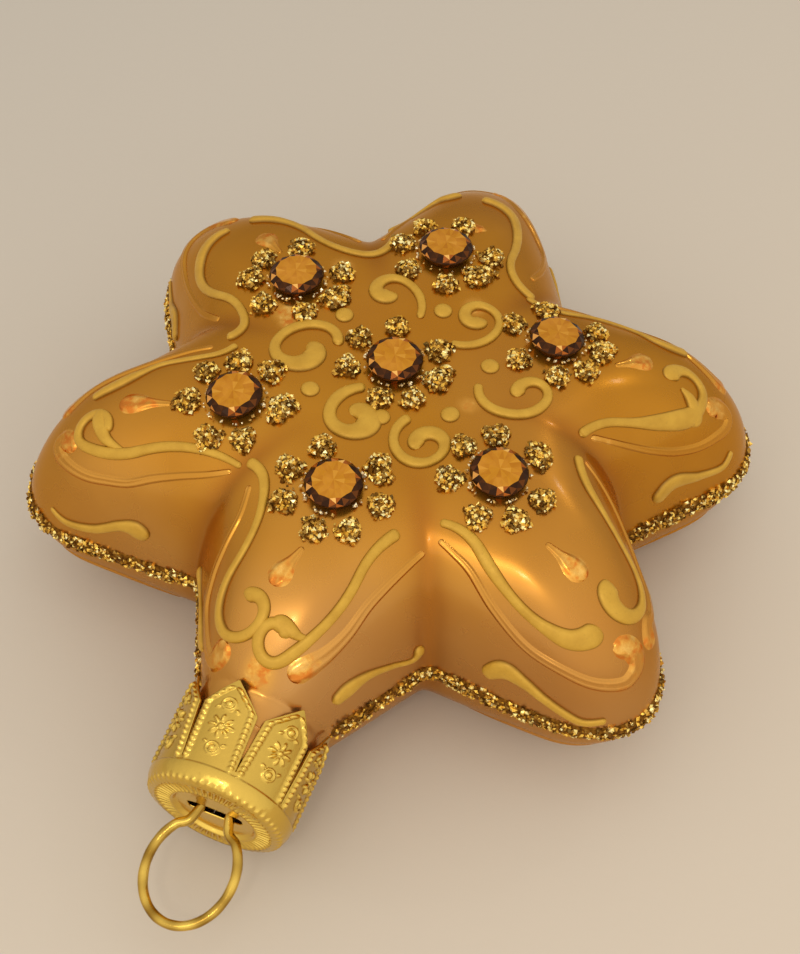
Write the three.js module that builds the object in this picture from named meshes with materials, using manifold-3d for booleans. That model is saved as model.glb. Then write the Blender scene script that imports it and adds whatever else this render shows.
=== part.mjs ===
// A tree ornament: a puffy six-pointed star of blown glass, made like a decorated star cookie.
// It lies on its back, on a small flat spot at the origin, with its front up along +Z.
// The arm with the neck, the metal cap and the hanging ring points along -Y.
// A bearing is an angle round the star: 0 is the cap's arm, and it grows towards +X.
// Lengths are in millimetres and angles in degrees.

import * as THREE from "three";
import { mergeVertices } from "three/addons/utils/BufferGeometryUtils.js";
import Module from "manifold-3d";

const wasm = await Module();
wasm.setup();

// ---- Driving dimensions ----

const ARM_COUNT = 6;
const ARM_STEP = 360 / ARM_COUNT;
const TIP_REACH = 42.3;
const TIP_RADIUS = 7.8;
const NOTCH_REACH = 28.2;
const NOTCH_RADIUS = 0.6;
const ARM_SPREAD = 0.9;

// Blown by hand in a mould, no two arms are quite alike: how much longer each one is, and how far
// its tip leans round the star. The first is the cap's arm, and they go round towards +X.
const ARMS = [
  { longer: -0.6, lean: -1 },
  { longer: 1.4, lean: 0 },
  { longer: 1.2, lean: -2 },
  { longer: 1.4, lean: 4.5 },
  { longer: 0, lean: 0 },
  { longer: 0.9, lean: -2.5 },
];

// Each half of the glass is a height curve over the reach: height * (1 - t^flat)^(1 / round).
const FRONT = { height: 18.8, flat: 4.8, round: 1.8, rest: 0 };
const BACK = { height: 12, flat: 3.4, round: 1.8, rest: 0.26 };

const COLUMNS_PER_ARM = 16;
const FRONT_ROWS = 8;
const BACK_ROWS = 6;
const SMALLEST_SHARE = 0.04;

const NECK = { radius: 5, start: 38, end: 45.6, sides: 20 };

const ROPE = { halfHeight: 0.9, thickness: 0.6, gap: 0.06, firstBearing: 13 };

// The cap's distances are from the star's centre to its end, its shoulder, the bottom of the slits
// between its leaves, the leaves' corners and their tips. It sits a little askew on the neck.
const CAP = {
  end: 49.3, shoulder: 47.2, slitBottom: 46.6, corner: 39.9, sideTip: 36.6, topTip: 37.9,
  endRadius: 6.9, radius: 8.4, topFlare: 2, wall: 0.5, dishRadius: 4.4, dishDepth: 0.5,
  leaves: 8, turn: -7.5, slitWidth: 5, sides: 40, shoulderRows: 3, leafRows: [0.34, 0.67, 1.02],
};
const CAP_SEAT = { droop: 5, hinge: 43, drop: 0.7, shift: -0.35, gap: 0.35, openEnd: 4 };
const LEAF_CUT = { pastTip: 1.3, innerRadius: 5, outerRadius: 12.5 };
const SLOT = { width: 6.4, height: 1.8 };

const RING = {
  wire: 1.1, halfWidth: 4.9, halfLength: 5.8, centre: 6.7, dip: 13, twist: 5, mouth: 26,
  legInside: 2, legSpread: 1.3, bends: 16, steps: 40, sides: 8,
};

const CRYSTAL = { radius: 3.2, foot: 3.1, girdle: 0.5, crown: 1.2, table: 2.3, height: 1.7, facets: 16 };
const DAB = { radius: 1.75, height: 1.15, distance: 5.4, sides: 7, wide: 1.35 };
const DAB_PROFILE = [[0, 0], [1, 0], [0.9, 0.55], [0.5, 0.92], [0, 1]];
const SEAT = { gap: 0.08, slopeStep: 0.5, samples: 12 };
const HALVINGS = 40;

// Seven crystals, each in a flower of seven dabs of glitter. dabs lists the direction of each dab
// from its crystal, as a bearing, and wide is the number of the dab that was made of two.
const FLOWERS = [
  { name: "centre", reach: 0.8, bearing: -134, dabs: [-160, -110, -60, 5, 45, 90, 135], wide: 5 },
  { name: "cap_arm", reach: 18, bearing: 0, dabs: [-145, -95, -50, 0, 40, 90, 140], wide: 6 },
  { name: "right_low", reach: 18.5, bearing: 58, dabs: [-155, -115, -65, -5, 40, 85, 145], wide: 6 },
  { name: "right", reach: 18.7, bearing: 127, dabs: [-150, -95, -35, 20, 60, 100, 140], wide: 5 },
  { name: "top", reach: 19.3, bearing: 185, dabs: [-185, -130, -85, -35, 20, 65, 110], wide: 5 },
  { name: "left_high", reach: 17.9, bearing: -117, dabs: [-160, -115, -75, -20, 30, 80, 125], wide: 5 },
  { name: "left", reach: 18.5, bearing: -53, dabs: [-160, -115, -70, -10, 35, 95, 155], wide: 5 },
];

const LACQUER = { color: 0xb9823f, roughness: 0.35, metalness: 0.6 };
const GOLD = { color: 0xd9ab3c, roughness: 0.25, metalness: 1 };
const GLITTER = { color: 0xc9a24a, roughness: 0.5, metalness: 0.8 };
const AMBER = { color: 0xb8741f, roughness: 0.08, metalness: 0.1 };

// ---- Small helpers ----

const radians = THREE.MathUtils.degToRad;
const degrees = THREE.MathUtils.radToDeg;
const range = (count) => Array.from({ length: count }, (_, index) => index);

// Swings a bearing and a reach to x and y.
function plan(bearing, reach) {
  const angle = radians(bearing);
  return [reach * Math.sin(angle), -reach * Math.cos(angle)];
}

// Merges shared corners and turns the faces outwards.
function tidy(geometry) {
  const bare = geometry.clone();
  bare.deleteAttribute("normal");
  bare.deleteAttribute("uv");
  const merged = mergeVertices(bare, 1e-4);
  const kept = [];
  const index = merged.index.array;
  const at = merged.attributes.position;
  const [a, b, c] = [new THREE.Vector3(), new THREE.Vector3(), new THREE.Vector3()];
  let volume = 0;
  for (let i = 0; i < index.length; i += 3) {
    const corners = [index[i], index[i + 1], index[i + 2]];
    if (new Set(corners).size < 3) continue;
    kept.push(...corners);
    a.fromBufferAttribute(at, corners[0]);
    b.fromBufferAttribute(at, corners[1]);
    c.fromBufferAttribute(at, corners[2]);
    volume += a.dot(b.cross(c));
  }
  if (volume < 0) kept.reverse();
  merged.setIndex(kept);
  return merged;
}

function toSolid(geometry) {
  const clean = tidy(geometry);
  const mesh = new wasm.Mesh({
    numProp: 3,
    vertProperties: new Float32Array(clean.attributes.position.array),
    triVerts: new Uint32Array(clean.index.array),
  });
  return new wasm.Manifold(mesh);
}

function toGeometry(solid) {
  const mesh = solid.getMesh();
  const geometry = new THREE.BufferGeometry();
  geometry.setAttribute("position", new THREE.BufferAttribute(new Float32Array(mesh.vertProperties), 3));
  geometry.setIndex(Array.from(mesh.triVerts));
  return geometry;
}

// Joins rings of points into one closed skin, with a flat lid at each end.
function skin(rings) {
  const count = rings[0].length;
  const points = rings.flat(2);
  const faces = [];
  for (let row = 0; row + 1 < rings.length; row += 1) {
    for (let k = 0; k < count; k += 1) {
      const a = row * count + k;
      const b = row * count + ((k + 1) % count);
      faces.push(a, b, a + count, b, b + count, a + count);
    }
  }
  const last = (rings.length - 1) * count;
  for (let k = 1; k + 1 < count; k += 1) {
    faces.push(0, k + 1, k, last, last + k, last + k + 1);
  }
  const geometry = new THREE.BufferGeometry();
  geometry.setAttribute("position", new THREE.Float32BufferAttribute(points, 3));
  geometry.setIndex(faces);
  return geometry;
}

// ---- The star's form ----

// The reach of an even star's seam: a round tip, a straight flank and a small round notch.
function evenOutline(bearing) {
  const folded = Math.abs(((bearing % ARM_STEP) + ARM_STEP * 1.5) % ARM_STEP - ARM_STEP / 2);
  const angle = radians(folded);
  const half = radians(ARM_STEP / 2);
  const tipCentre = TIP_REACH - TIP_RADIUS;
  const notchCentre = NOTCH_REACH + NOTCH_RADIUS;
  const dx = notchCentre * Math.cos(half) - tipCentre;
  const dy = notchCentre * Math.sin(half);
  const lean = Math.atan2(dy, dx) - Math.acos((TIP_RADIUS + NOTCH_RADIUS) / Math.hypot(dx, dy));
  const touch = [tipCentre + TIP_RADIUS * Math.cos(lean), TIP_RADIUS * Math.sin(lean)];
  const notchTouch = [
    notchCentre * Math.cos(half) - NOTCH_RADIUS * Math.cos(lean),
    notchCentre * Math.sin(half) - NOTCH_RADIUS * Math.sin(lean),
  ];
  if (angle <= Math.atan2(touch[1], touch[0])) {
    return tipCentre * Math.cos(angle) + Math.sqrt(TIP_RADIUS ** 2 - (tipCentre * Math.sin(angle)) ** 2);
  }
  if (angle < Math.atan2(notchTouch[1], notchTouch[0])) {
    const flank = touch[0] * Math.cos(lean) + touch[1] * Math.sin(lean);
    return flank / Math.cos(angle - lean);
  }
  const off = half - angle;
  return notchCentre * Math.cos(off) - Math.sqrt(NOTCH_RADIUS ** 2 - (notchCentre * Math.sin(off)) ** 2);
}

// The seam's reach at a bearing, with each arm's own length and lean.
function outline(bearing) {
  const nearest = Math.round(bearing / ARM_STEP);
  const arm = ARMS[((nearest % ARM_COUNT) + ARM_COUNT) % ARM_COUNT];
  const share = 1 - Math.abs(bearing - nearest * ARM_STEP) / (ARM_STEP / 2);
  return evenOutline(bearing - arm.lean * share) * (1 + (arm.longer / TIP_REACH) * share);
}

const MEAN_REACH = range(360).reduce((sum, bearing) => sum + evenOutline(bearing) / 360, 0);

// The reach at a share t of the way out: nearly round at the centre, star-shaped at the seam.
function reachAt(bearing, t) {
  return t * (MEAN_REACH + (outline(bearing) - MEAN_REACH) * t ** ARM_SPREAD);
}

function heightAt(half, t) {
  const share = Math.max(0, (t - half.rest) / (1 - half.rest));
  return half.height * (1 - Math.min(share, 1) ** half.flat) ** (1 / half.round);
}

// The share t at which a half of the glass is this high over the seam.
function shareAtHeight(half, height) {
  const share = (1 - (height / half.height) ** half.round) ** (1 / half.flat);
  return half.rest + share * (1 - half.rest);
}

// The front's height over a place in plan, found by halving.
function frontHeight(x, y) {
  const bearing = degrees(Math.atan2(x, -y));
  const reach = Math.hypot(x, y);
  let low = 0;
  let high = 1;
  for (let turn = 0; turn < HALVINGS; turn += 1) {
    const middle = (low + high) / 2;
    if (reachAt(bearing, middle) < reach) low = middle;
    else high = middle;
  }
  return heightAt(FRONT, low);
}

// The blown star and its neck, cut back where the cap's wall goes.
function starGlass() {
  const bearings = range(ARM_COUNT * COLUMNS_PER_ARM).map((k) => (k * ARM_STEP) / COLUMNS_PER_ARM);
  const ring = (t, z) => bearings.map((bearing) => [...plan(bearing, reachAt(bearing, t)), z]);
  const rings = [];
  for (let row = 0; row < BACK_ROWS; row += 1) {
    const share = Math.sin((Math.PI / 2) * (row / BACK_ROWS)) ** (2 / BACK.flat);
    const t = BACK.rest + share * (1 - BACK.rest);
    rings.push(ring(t, -heightAt(BACK, t)));
  }
  for (let row = FRONT_ROWS; row >= 0; row -= 1) {
    const share = Math.sin((Math.PI / 2) * (row / FRONT_ROWS)) ** (2 / FRONT.flat);
    const t = Math.max(share, SMALLEST_SHARE);
    rings.push(ring(t, heightAt(FRONT, t)));
  }
  const neck = new THREE.CylinderGeometry(NECK.radius, NECK.radius, NECK.end - NECK.start, NECK.sides);
  neck.translate(0, -(NECK.end + NECK.start) / 2, 0);
  return toGeometry(toSolid(skin(rings)).subtract(capRoom()).add(toSolid(neck)));
}

// ---- Glitter rope on the seam ----

function glitterRope() {
  const step = ARM_STEP / COLUMNS_PER_ARM;
  const inner = range(ARM_COUNT * COLUMNS_PER_ARM).map((k) => k * step);
  const last = 360 - ROPE.firstBearing;
  const bearings = [ROPE.firstBearing, ...inner.filter((b) => b > ROPE.firstBearing && b < last), last];
  const section = (bearing) => {
    const low = reachAt(bearing, shareAtHeight(BACK, ROPE.halfHeight)) + ROPE.gap;
    const high = reachAt(bearing, shareAtHeight(FRONT, ROPE.halfHeight)) + ROPE.gap;
    const seam = outline(bearing) + ROPE.gap;
    return [
      [...plan(bearing, low), -ROPE.halfHeight],
      [...plan(bearing, seam), 0],
      [...plan(bearing, high), ROPE.halfHeight],
      [...plan(bearing, seam + ROPE.thickness), ROPE.halfHeight / 2],
      [...plan(bearing, seam + ROPE.thickness), -ROPE.halfHeight / 2],
    ];
  };
  return tidy(skin(bearings.map(section)));
}

// ---- Metal cap ----

// The cap's outer profile from the middle of its end to the leaves, as radius and distance from
// the star's centre, moved out by an allowance.
function capOutside(allowance) {
  const arc = range(CAP.shoulderRows + 1).map((k) => {
    const angle = (Math.PI / 2) * (k / CAP.shoulderRows);
    const radius = CAP.endRadius + (CAP.radius - CAP.endRadius) * Math.sin(angle);
    return [radius + allowance, CAP.shoulder + (CAP.end - CAP.shoulder) * Math.cos(angle) + allowance];
  });
  const leaf = CAP.leafRows.map((share) => [
    CAP.radius + allowance,
    CAP.shoulder + (CAP.sideTip - CAP.shoulder) * share - allowance,
  ]);
  return [...arc, ...leaf];
}

// Opens the leaves where the tall arm pushes them apart: most at the top, not at all at the sides.
function flare(geometry) {
  const at = geometry.attributes.position;
  for (let i = 0; i < at.count; i += 1) {
    const distance = -at.getY(i);
    const share = Math.max(0, (CAP.shoulder - distance) / (CAP.shoulder - CAP.sideTip));
    const radius = Math.hypot(at.getX(i), at.getZ(i));
    if (share > 0 && radius > CAP.radius / 2) {
      const up = Math.max(0, at.getZ(i) / radius) ** 2;
      const scale = (radius + CAP.topFlare * share * up) / radius;
      const along = -distance - (CAP.topTip - CAP.sideTip) * share * up;
      at.setXYZ(i, at.getX(i) * scale, along, at.getZ(i) * scale);
    }
  }
  return geometry;
}

// Seats a piece of the cap on the neck: drooping, a little low and to one side.
function onNeck(geometry) {
  geometry.translate(0, CAP_SEAT.hinge, 0);
  geometry.rotateX(radians(CAP_SEAT.droop));
  return geometry.translate(CAP_SEAT.shift, -CAP_SEAT.hinge, -CAP_SEAT.drop);
}

// Turns a profile of radius and distance round the cap's axis.
function turned(profile, segments) {
  const points = profile.map(([radius, distance]) => new THREE.Vector2(radius, -distance));
  return new THREE.LatheGeometry(points, segments);
}

// A solid plug with the cap's outer form, moved out by an allowance and made longer at its open end.
function capPlug(allowance, extra) {
  const outside = capOutside(allowance);
  const [radius, tip] = outside.at(-1);
  const profile = [[0, outside[0][1]], ...outside, [radius, tip - extra], [0, tip - extra]];
  return toSolid(onNeck(flare(turned(profile, CAP.sides))));
}

// The room that the cap's wall takes, with a small gap on both sides of it.
function capRoom() {
  return capPlug(CAP_SEAT.gap, 0).subtract(capPlug(-CAP.wall - CAP_SEAT.gap, CAP_SEAT.openEnd));
}

// A gap between two leaves: a narrow slit that opens out from the leaves' corners, past their tips.
function leafGap(bearing) {
  const half = 180 / CAP.leaves;
  const corner = CAP.slitWidth / 2;
  const wide = corner + (half - corner) * LEAF_CUT.pastTip;
  const high = CAP.corner + (CAP.sideTip - CAP.corner) * LEAF_CUT.pastTip;
  const shape = new THREE.Shape([
    new THREE.Vector2(0, CAP.slitBottom),
    new THREE.Vector2(corner, CAP.corner),
    new THREE.Vector2(wide, high),
    new THREE.Vector2(-wide, high),
    new THREE.Vector2(-corner, CAP.corner),
  ]);
  const geometry = new THREE.ExtrudeGeometry(shape, { depth: 1, bevelEnabled: false });
  const at = geometry.attributes.position;
  for (let i = 0; i < at.count; i += 1) {
    const angle = radians(bearing + at.getX(i));
    const radius = LEAF_CUT.innerRadius + (LEAF_CUT.outerRadius - LEAF_CUT.innerRadius) * at.getZ(i);
    at.setXYZ(i, radius * Math.sin(angle), -at.getY(i), radius * Math.cos(angle));
  }
  return flare(geometry);
}

function cap() {
  const outside = capOutside(0);
  const innerEnd = CAP.end - CAP.wall;
  const inside = outside.map(([radius, distance]) => [radius - CAP.wall, Math.min(distance, innerEnd)]);
  const dishFloor = CAP.end - CAP.dishDepth;
  const profile = [
    [0, dishFloor], [CAP.dishRadius, dishFloor], [CAP.dishRadius + CAP.dishDepth, CAP.end], ...outside,
    ...inside.reverse(), [CAP.dishRadius + CAP.dishDepth, innerEnd],
    [CAP.dishRadius, dishFloor - CAP.wall], [0, dishFloor - CAP.wall],
  ];
  let solid = toSolid(flare(turned(profile, CAP.sides)));
  for (const leaf of range(CAP.leaves)) {
    solid = solid.subtract(toSolid(leafGap(CAP.turn + (360 / CAP.leaves) * (leaf + 0.5))));
  }
  const slot = new THREE.BoxGeometry(SLOT.width, 4 * CAP.wall + CAP.dishDepth, SLOT.height);
  slot.translate(0, -dishFloor, 0);
  return onNeck(toGeometry(solid.subtract(toSolid(slot))));
}

// ---- Hanging ring ----

// A wire loop that dips from the slot, with its two ends sprung inside the cap.
function hangingRing() {
  const dip = radians(RING.dip);
  const slotDistance = CAP.end - CAP.dishDepth - CAP.wall / 2;
  const place = (x, out) => {
    const rise = x * Math.sin(radians(RING.twist)) - out * Math.sin(dip);
    return new THREE.Vector3(x, -slotDistance - out * Math.cos(dip), rise);
  };
  const arc = range(RING.bends + 1).map((k) => {
    const angle = radians(RING.mouth + ((360 - 2 * RING.mouth) * k) / RING.bends);
    return place(RING.halfWidth * Math.sin(angle), RING.centre - RING.halfLength * Math.cos(angle));
  });
  const path = [
    place(RING.legSpread, -RING.legInside), ...arc, place(-RING.legSpread, -RING.legInside),
  ];
  const curve = new THREE.CatmullRomCurve3(path, false, "centripetal");
  const wire = new THREE.Shape();
  wire.absarc(0, 0, RING.wire / 2, 0, 2 * Math.PI);
  const options = { extrudePath: curve, steps: RING.steps, bevelEnabled: false };
  options.curveSegments = RING.sides / 2;
  return onNeck(tidy(new THREE.ExtrudeGeometry(wire, options)));
}

// ---- Crystals and dabs of glitter ----

// Turns a profile of radius and height into a piece that stands along +Z.
function standing(profile, segments) {
  const points = profile.map(([radius, height]) => new THREE.Vector2(radius, height));
  return new THREE.LatheGeometry(points, segments).rotateX(Math.PI / 2);
}

function crystal() {
  const { radius, foot, girdle, crown, table, height, facets } = CRYSTAL;
  const sides = [[0, 0], [foot, 0], [radius, girdle], [(radius + table) / 2, crown]];
  return tidy(standing([...sides, [table, height], [0, height]], facets));
}

function dab(stretch) {
  const profile = DAB_PROFILE.map(([radius, height]) => [radius * DAB.radius, height * DAB.height]);
  return tidy(standing(profile, DAB.sides).scale(stretch, 1, 1));
}

// Seats a piece of a given radius on the front of the glass, turned to a bearing.
function seat(mesh, x, y, radius, bearing) {
  const height = frontHeight(x, y);
  const step = SEAT.slopeStep;
  const slopeX = (frontHeight(x + step, y) - frontHeight(x - step, y)) / (2 * step);
  const slopeY = (frontHeight(x, y + step) - frontHeight(x, y - step)) / (2 * step);
  const normal = new THREE.Vector3(-slopeX, -slopeY, 1).normalize();
  let lift = 0;
  for (const k of range(SEAT.samples)) {
    const [dx, dy] = plan((360 / SEAT.samples) * k, radius);
    const edge = new THREE.Vector3(dx, dy, frontHeight(x + dx, y + dy) - height);
    lift = Math.max(lift, edge.dot(normal));
  }
  const tilt = new THREE.Quaternion().setFromUnitVectors(new THREE.Vector3(0, 0, 1), normal);
  const turn = new THREE.Quaternion().setFromAxisAngle(new THREE.Vector3(0, 0, 1), radians(bearing));
  mesh.quaternion.copy(tilt.multiply(turn));
  mesh.position.set(x, y, height).addScaledVector(normal, lift + SEAT.gap);
  return mesh;
}

function named(name, geometry, material) {
  const mesh = new THREE.Mesh(geometry, new THREE.MeshStandardMaterial(material));
  mesh.name = name;
  return mesh;
}

// ---- Assembly ----

const group = new THREE.Group();
const onBack = new THREE.Group();
onBack.position.z = BACK.height;
group.add(onBack);

onBack.add(named("star_glass", starGlass(), LACQUER));
onBack.add(named("seam_glitter", glitterRope(), GLITTER));
onBack.add(named("cap", cap(), GOLD));
onBack.add(named("ring", hangingRing(), GOLD));

for (const flower of FLOWERS) {
  const [x, y] = plan(flower.bearing, flower.reach);
  onBack.add(seat(named(`crystal_${flower.name}`, crystal(), AMBER), x, y, CRYSTAL.radius, flower.bearing));
  flower.dabs.forEach((direction, number) => {
    const stretch = number === flower.wide ? DAB.wide : 1;
    const [dx, dy] = plan(direction, DAB.distance);
    const mesh = named(`dab_${flower.name}_${number + 1}`, dab(stretch), GLITTER);
    onBack.add(seat(mesh, x + dx, y + dy, DAB.radius * stretch, direction));
  });
}

export default group;
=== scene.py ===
"""Dresses a blown-glass star ornament: lacquered glass with moulded scrolls, raised enamel, foiled
crystals in flowers of glitter, a rope of glitter round the seam, a stamped gold cap and a wire ring.

Lengths in the tables and helpers are in millimetres over the star's seam, angles in degrees, and a
bearing is an angle round the star: 0 is the cap's arm, and it grows towards +X.
"""

import functools
import math

import bpy
import numpy as np
from bpy.props import FloatProperty, FloatVectorProperty, IntProperty, PointerProperty
from mathutils import Matrix, Vector
from mathutils.bvhtree import BVHTree


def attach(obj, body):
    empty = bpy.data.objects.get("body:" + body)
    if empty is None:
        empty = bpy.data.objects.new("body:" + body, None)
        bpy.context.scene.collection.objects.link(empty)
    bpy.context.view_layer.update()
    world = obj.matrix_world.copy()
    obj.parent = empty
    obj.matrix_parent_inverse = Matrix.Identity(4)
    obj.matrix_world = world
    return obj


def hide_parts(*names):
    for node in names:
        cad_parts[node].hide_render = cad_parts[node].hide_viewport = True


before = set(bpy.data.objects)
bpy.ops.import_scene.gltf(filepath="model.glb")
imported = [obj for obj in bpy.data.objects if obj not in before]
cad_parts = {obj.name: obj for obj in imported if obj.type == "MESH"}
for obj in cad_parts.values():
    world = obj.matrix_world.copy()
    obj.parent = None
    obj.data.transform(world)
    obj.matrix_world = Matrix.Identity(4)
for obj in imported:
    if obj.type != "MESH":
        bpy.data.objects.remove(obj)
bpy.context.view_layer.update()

bl_info = {
    "name": "Blown-glass star ornament",
    "version": (1, 0, 0),
    "blender": (4, 5, 0),
    "location": "View3D > Sidebar > Star ornament",
    "description": "Builds a gingerbread star ornament of lacquered glass, enamel, crystals and glitter",
    "category": "Add Mesh",
}

MM = 0.001
BODY = "root"

# ---- The star's form: the same as the solid's ----

ARM_COUNT = 6
ARM_STEP = 360 / ARM_COUNT
TIP_REACH = 42.3
TIP_RADIUS = 7.8
NOTCH_REACH = 28.2
NOTCH_RADIUS = 0.6
ARM_SPREAD = 0.9
ARM_LONGER = np.array([-0.6, 1.4, 1.2, 1.4, 0, 0.9])
ARM_LEAN = np.array([-1, 0, -2, 4.5, 0, -2.5])
# Each half: its height, how flat its middle and how round its shoulder are, the share that rests
# level, and its rows of points, spaced evenly as far as one share and closer towards the seam.
FRONT = {"height": 18.8, "flat": 4.8, "round": 1.8, "rest": 0, "even_to": 0.6, "rows": (30, 62)}
BACK = {"height": 12, "flat": 3.4, "round": 1.8, "rest": 0.26, "even_to": 0.5, "rows": (14, 34)}
COLUMNS_PER_ARM = 100
# A height well over everything, from which places in plan are dropped onto the glass.
CLEAR_ABOVE = 60
# Small rings inside the level spot that the star rests on, as shares of the way out.
REST_RINGS = [0.06, 0.15]
# The dents of hand-blown glass: how long each kind of wave is and how deep it goes. They fade out
# where the glass comes down to the table.
DENTS = ((34, 0.16), (21, 0.1), (13, 0.05), (7, 0.018))
DENT_WAVES = 4
DENT_FREE = 0.6
DENT_FADE = 3
# Painted shade along the valleys, where the lacquer also runs thick: half its width, where it starts
# and how soon it is at its darkest, by distance from the star's middle, and how dark it gets.
VALLEY_POOL_AND_SHADE = {"half_width": 1.6, "start": 12, "run": 8, "most": 0.75}

# The cap by distance from the star's middle, from its end to the tips of its leaves; its radii, the
# dish in its end, and half the angle of the slits between its leaves.
CAP = {
    "end": 49.3, "shoulder": 47.2, "slit": 46.6, "corner": 39.9, "side_tip": 36.6, "top_tip": 37.9,
    "end_radius": 6.9, "radius": 8.4, "flare": 2, "dish_radius": 4.4, "dish_depth": 0.5,
    "leaves": 8, "turn": -7.5, "slit_half": 2.5,
}
# How the cap sits on its arm: it droops about a hinge, and lies a little low and to one side.
CAP_SEAT = {"droop": 5, "hinge": 43, "drop": 0.7, "shift": -0.35}
# Half the width and half the height of the slot that the ring's legs go through.
CAP_SLOT = (3.2, 0.9)
CAP_RIBS = 56
# The rows of points over the floor of the cap's dish, up its wall, over the ribs, round the
# shoulder and down a leaf.
CAP_ROWS = {"floor": 12, "wall": 8, "ribs": 18, "shoulder": 20, "leaf": 85}
LEAF_COLUMNS = 45
# Where a leaf's flower is, and its two ringed bosses with the way that their petals point.
LEAF_FLOWER = 42.4
LEAF_BOSSES = ((39.7, 1), (45.1, -1))
# How the cap's arm rolls in under the leaves, by distance from the star's middle.
TUCK = {
    "start": 31, "blend": 33, "full": 36, "clearance": 0.62, "flank": 2.1, "soft": 0.9,
    "neck": 38.4, "neck_run": 2.2, "neck_step": 0.45, "neck_depth": 3.5, "neck_soft": 1.2,
}
# The rings of glass inside the cap: the distance of each, and how far in it lies from the leaves.
NECK_RINGS = [(39.8, 3), (40.6, 1.6), (41.4, 0.95), (43, 0.8), (44.6, 1), (45.5, 1.8), (46, 3.2),
              (46.1, 4.3)]
NECK_COLUMNS = 72
# The wire ring: its half width and half length, how far its middle is beyond the slot, how it dips
# and twists, half the angle that its mouth is open, and its two legs inside the cap.
RING = {
    "half_width": 4.9, "half_length": 5.8, "centre": 6.7, "dip": 13, "twist": 5, "mouth": 26,
    "leg_inside": 2, "leg_spread": 1.3, "bends": 16,
}
RING_ROWS = 240
RING_COLUMNS = 20

# The table's side in metres, and the way to the room's brightest side.
TABLE_SIZE = 6.0
ROOM_BRIGHT_SIDE = (0.27, -0.68, 0.68)
CAMERA = {"azimuth": 19.8, "elevation": 52.4, "roll": 2.9, "target": (1.1, -0.45, 12), "distance": 218.8,
          "lens": 68.8}

# Seven crystals, each in a flower of seven dabs of glitter: the reach and bearing of the crystal,
# the directions of its dabs, and the number of the dab that was made of two.
FLOWERS = {
    "centre": (0.8, -134, (-160, -110, -60, 5, 45, 90, 135), 5),
    "cap_arm": (18, 0, (-145, -95, -50, 0, 40, 90, 140), 6),
    "right_low": (18.5, 58, (-155, -115, -65, -5, 40, 85, 145), 6),
    "right": (18.7, 127, (-150, -95, -35, 20, 60, 100, 140), 5),
    "top": (19.3, 185, (-185, -130, -85, -35, 20, 65, 110), 5),
    "left_high": (17.9, -117, (-160, -115, -75, -20, 30, 80, 125), 5),
    "left": (18.5, -53, (-160, -115, -70, -10, 35, 95, 155), 5),
}

CRYSTAL_SIDES = 12
# A crystal's outer rings: how high each is, and its radius as a share of the girdle's. The crown's
# ring lies between them and the table.
CRYSTAL_RINGS = {"foot": (0.05, 0.84), "belt": (1, 1), "shoulder": (1.15, 0.98)}
CROWN_RISE = 1.5
# The rope of glitter: the bearings of its ends, on each side of the cap, how far they taper, its
# rows of points, and how many times its thickness comes and goes and by how much.
ROPE_ENDS = (11.6, 348.4)
ROPE_TAPER = 1.3
ROPE_ROWS = 1200
ROPE_SWELLS = 110
ROPE_SWELL = 0.16

# ---- The enameller's scrolls ----
# Each stroke is drawn as with a pen: where it starts on the front, its heading (0 is +X), its runs
# as (length, turn to the left), and its width from start to end.

SPIRALS = {
    "a": ((-7.6, 0.6), 97, [(3.8, 92), (6.4, 83), (6.8, 160), (2.5, 120)], (1.6, 1.5, 1.5, 1.7, 2.9, 3.4)),
    "b": ((-0.6, 8.1), 92, [(6.8, 76), (3.9, 112), (3.2, 170)], (1.1, 1.3, 1.3, 2, 3)),
    "c": ((4, 5.9), 1, [(7.3, 97), (4.3, 103), (2.7, 93), (3.1, 159)], (1.2, 1.3, 1.3, 1.3, 1.8, 2.3)),
    "d": ((9.2, 1.5), -83, [(4.2, 73), (7.2, 97), (3.1, 106), (3.5, 115)], (1.3, 1.5, 1.5, 1.4, 2.2)),
    "e": ((3.9, -5.8), -128, [(5.6, 86), (6.7, 139), (3.2, 108), (3, 121)], (1.5, 1.4, 1.6, 1.4, 2.2, 2.3)),
    "f": ((-2.2, -3.9), -153, [(5.9, 77), (5.9, 144), (3.7, 174)], (1.4, 1.8, 1.8, 2.3, 3.4, 3.4)),
}
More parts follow.
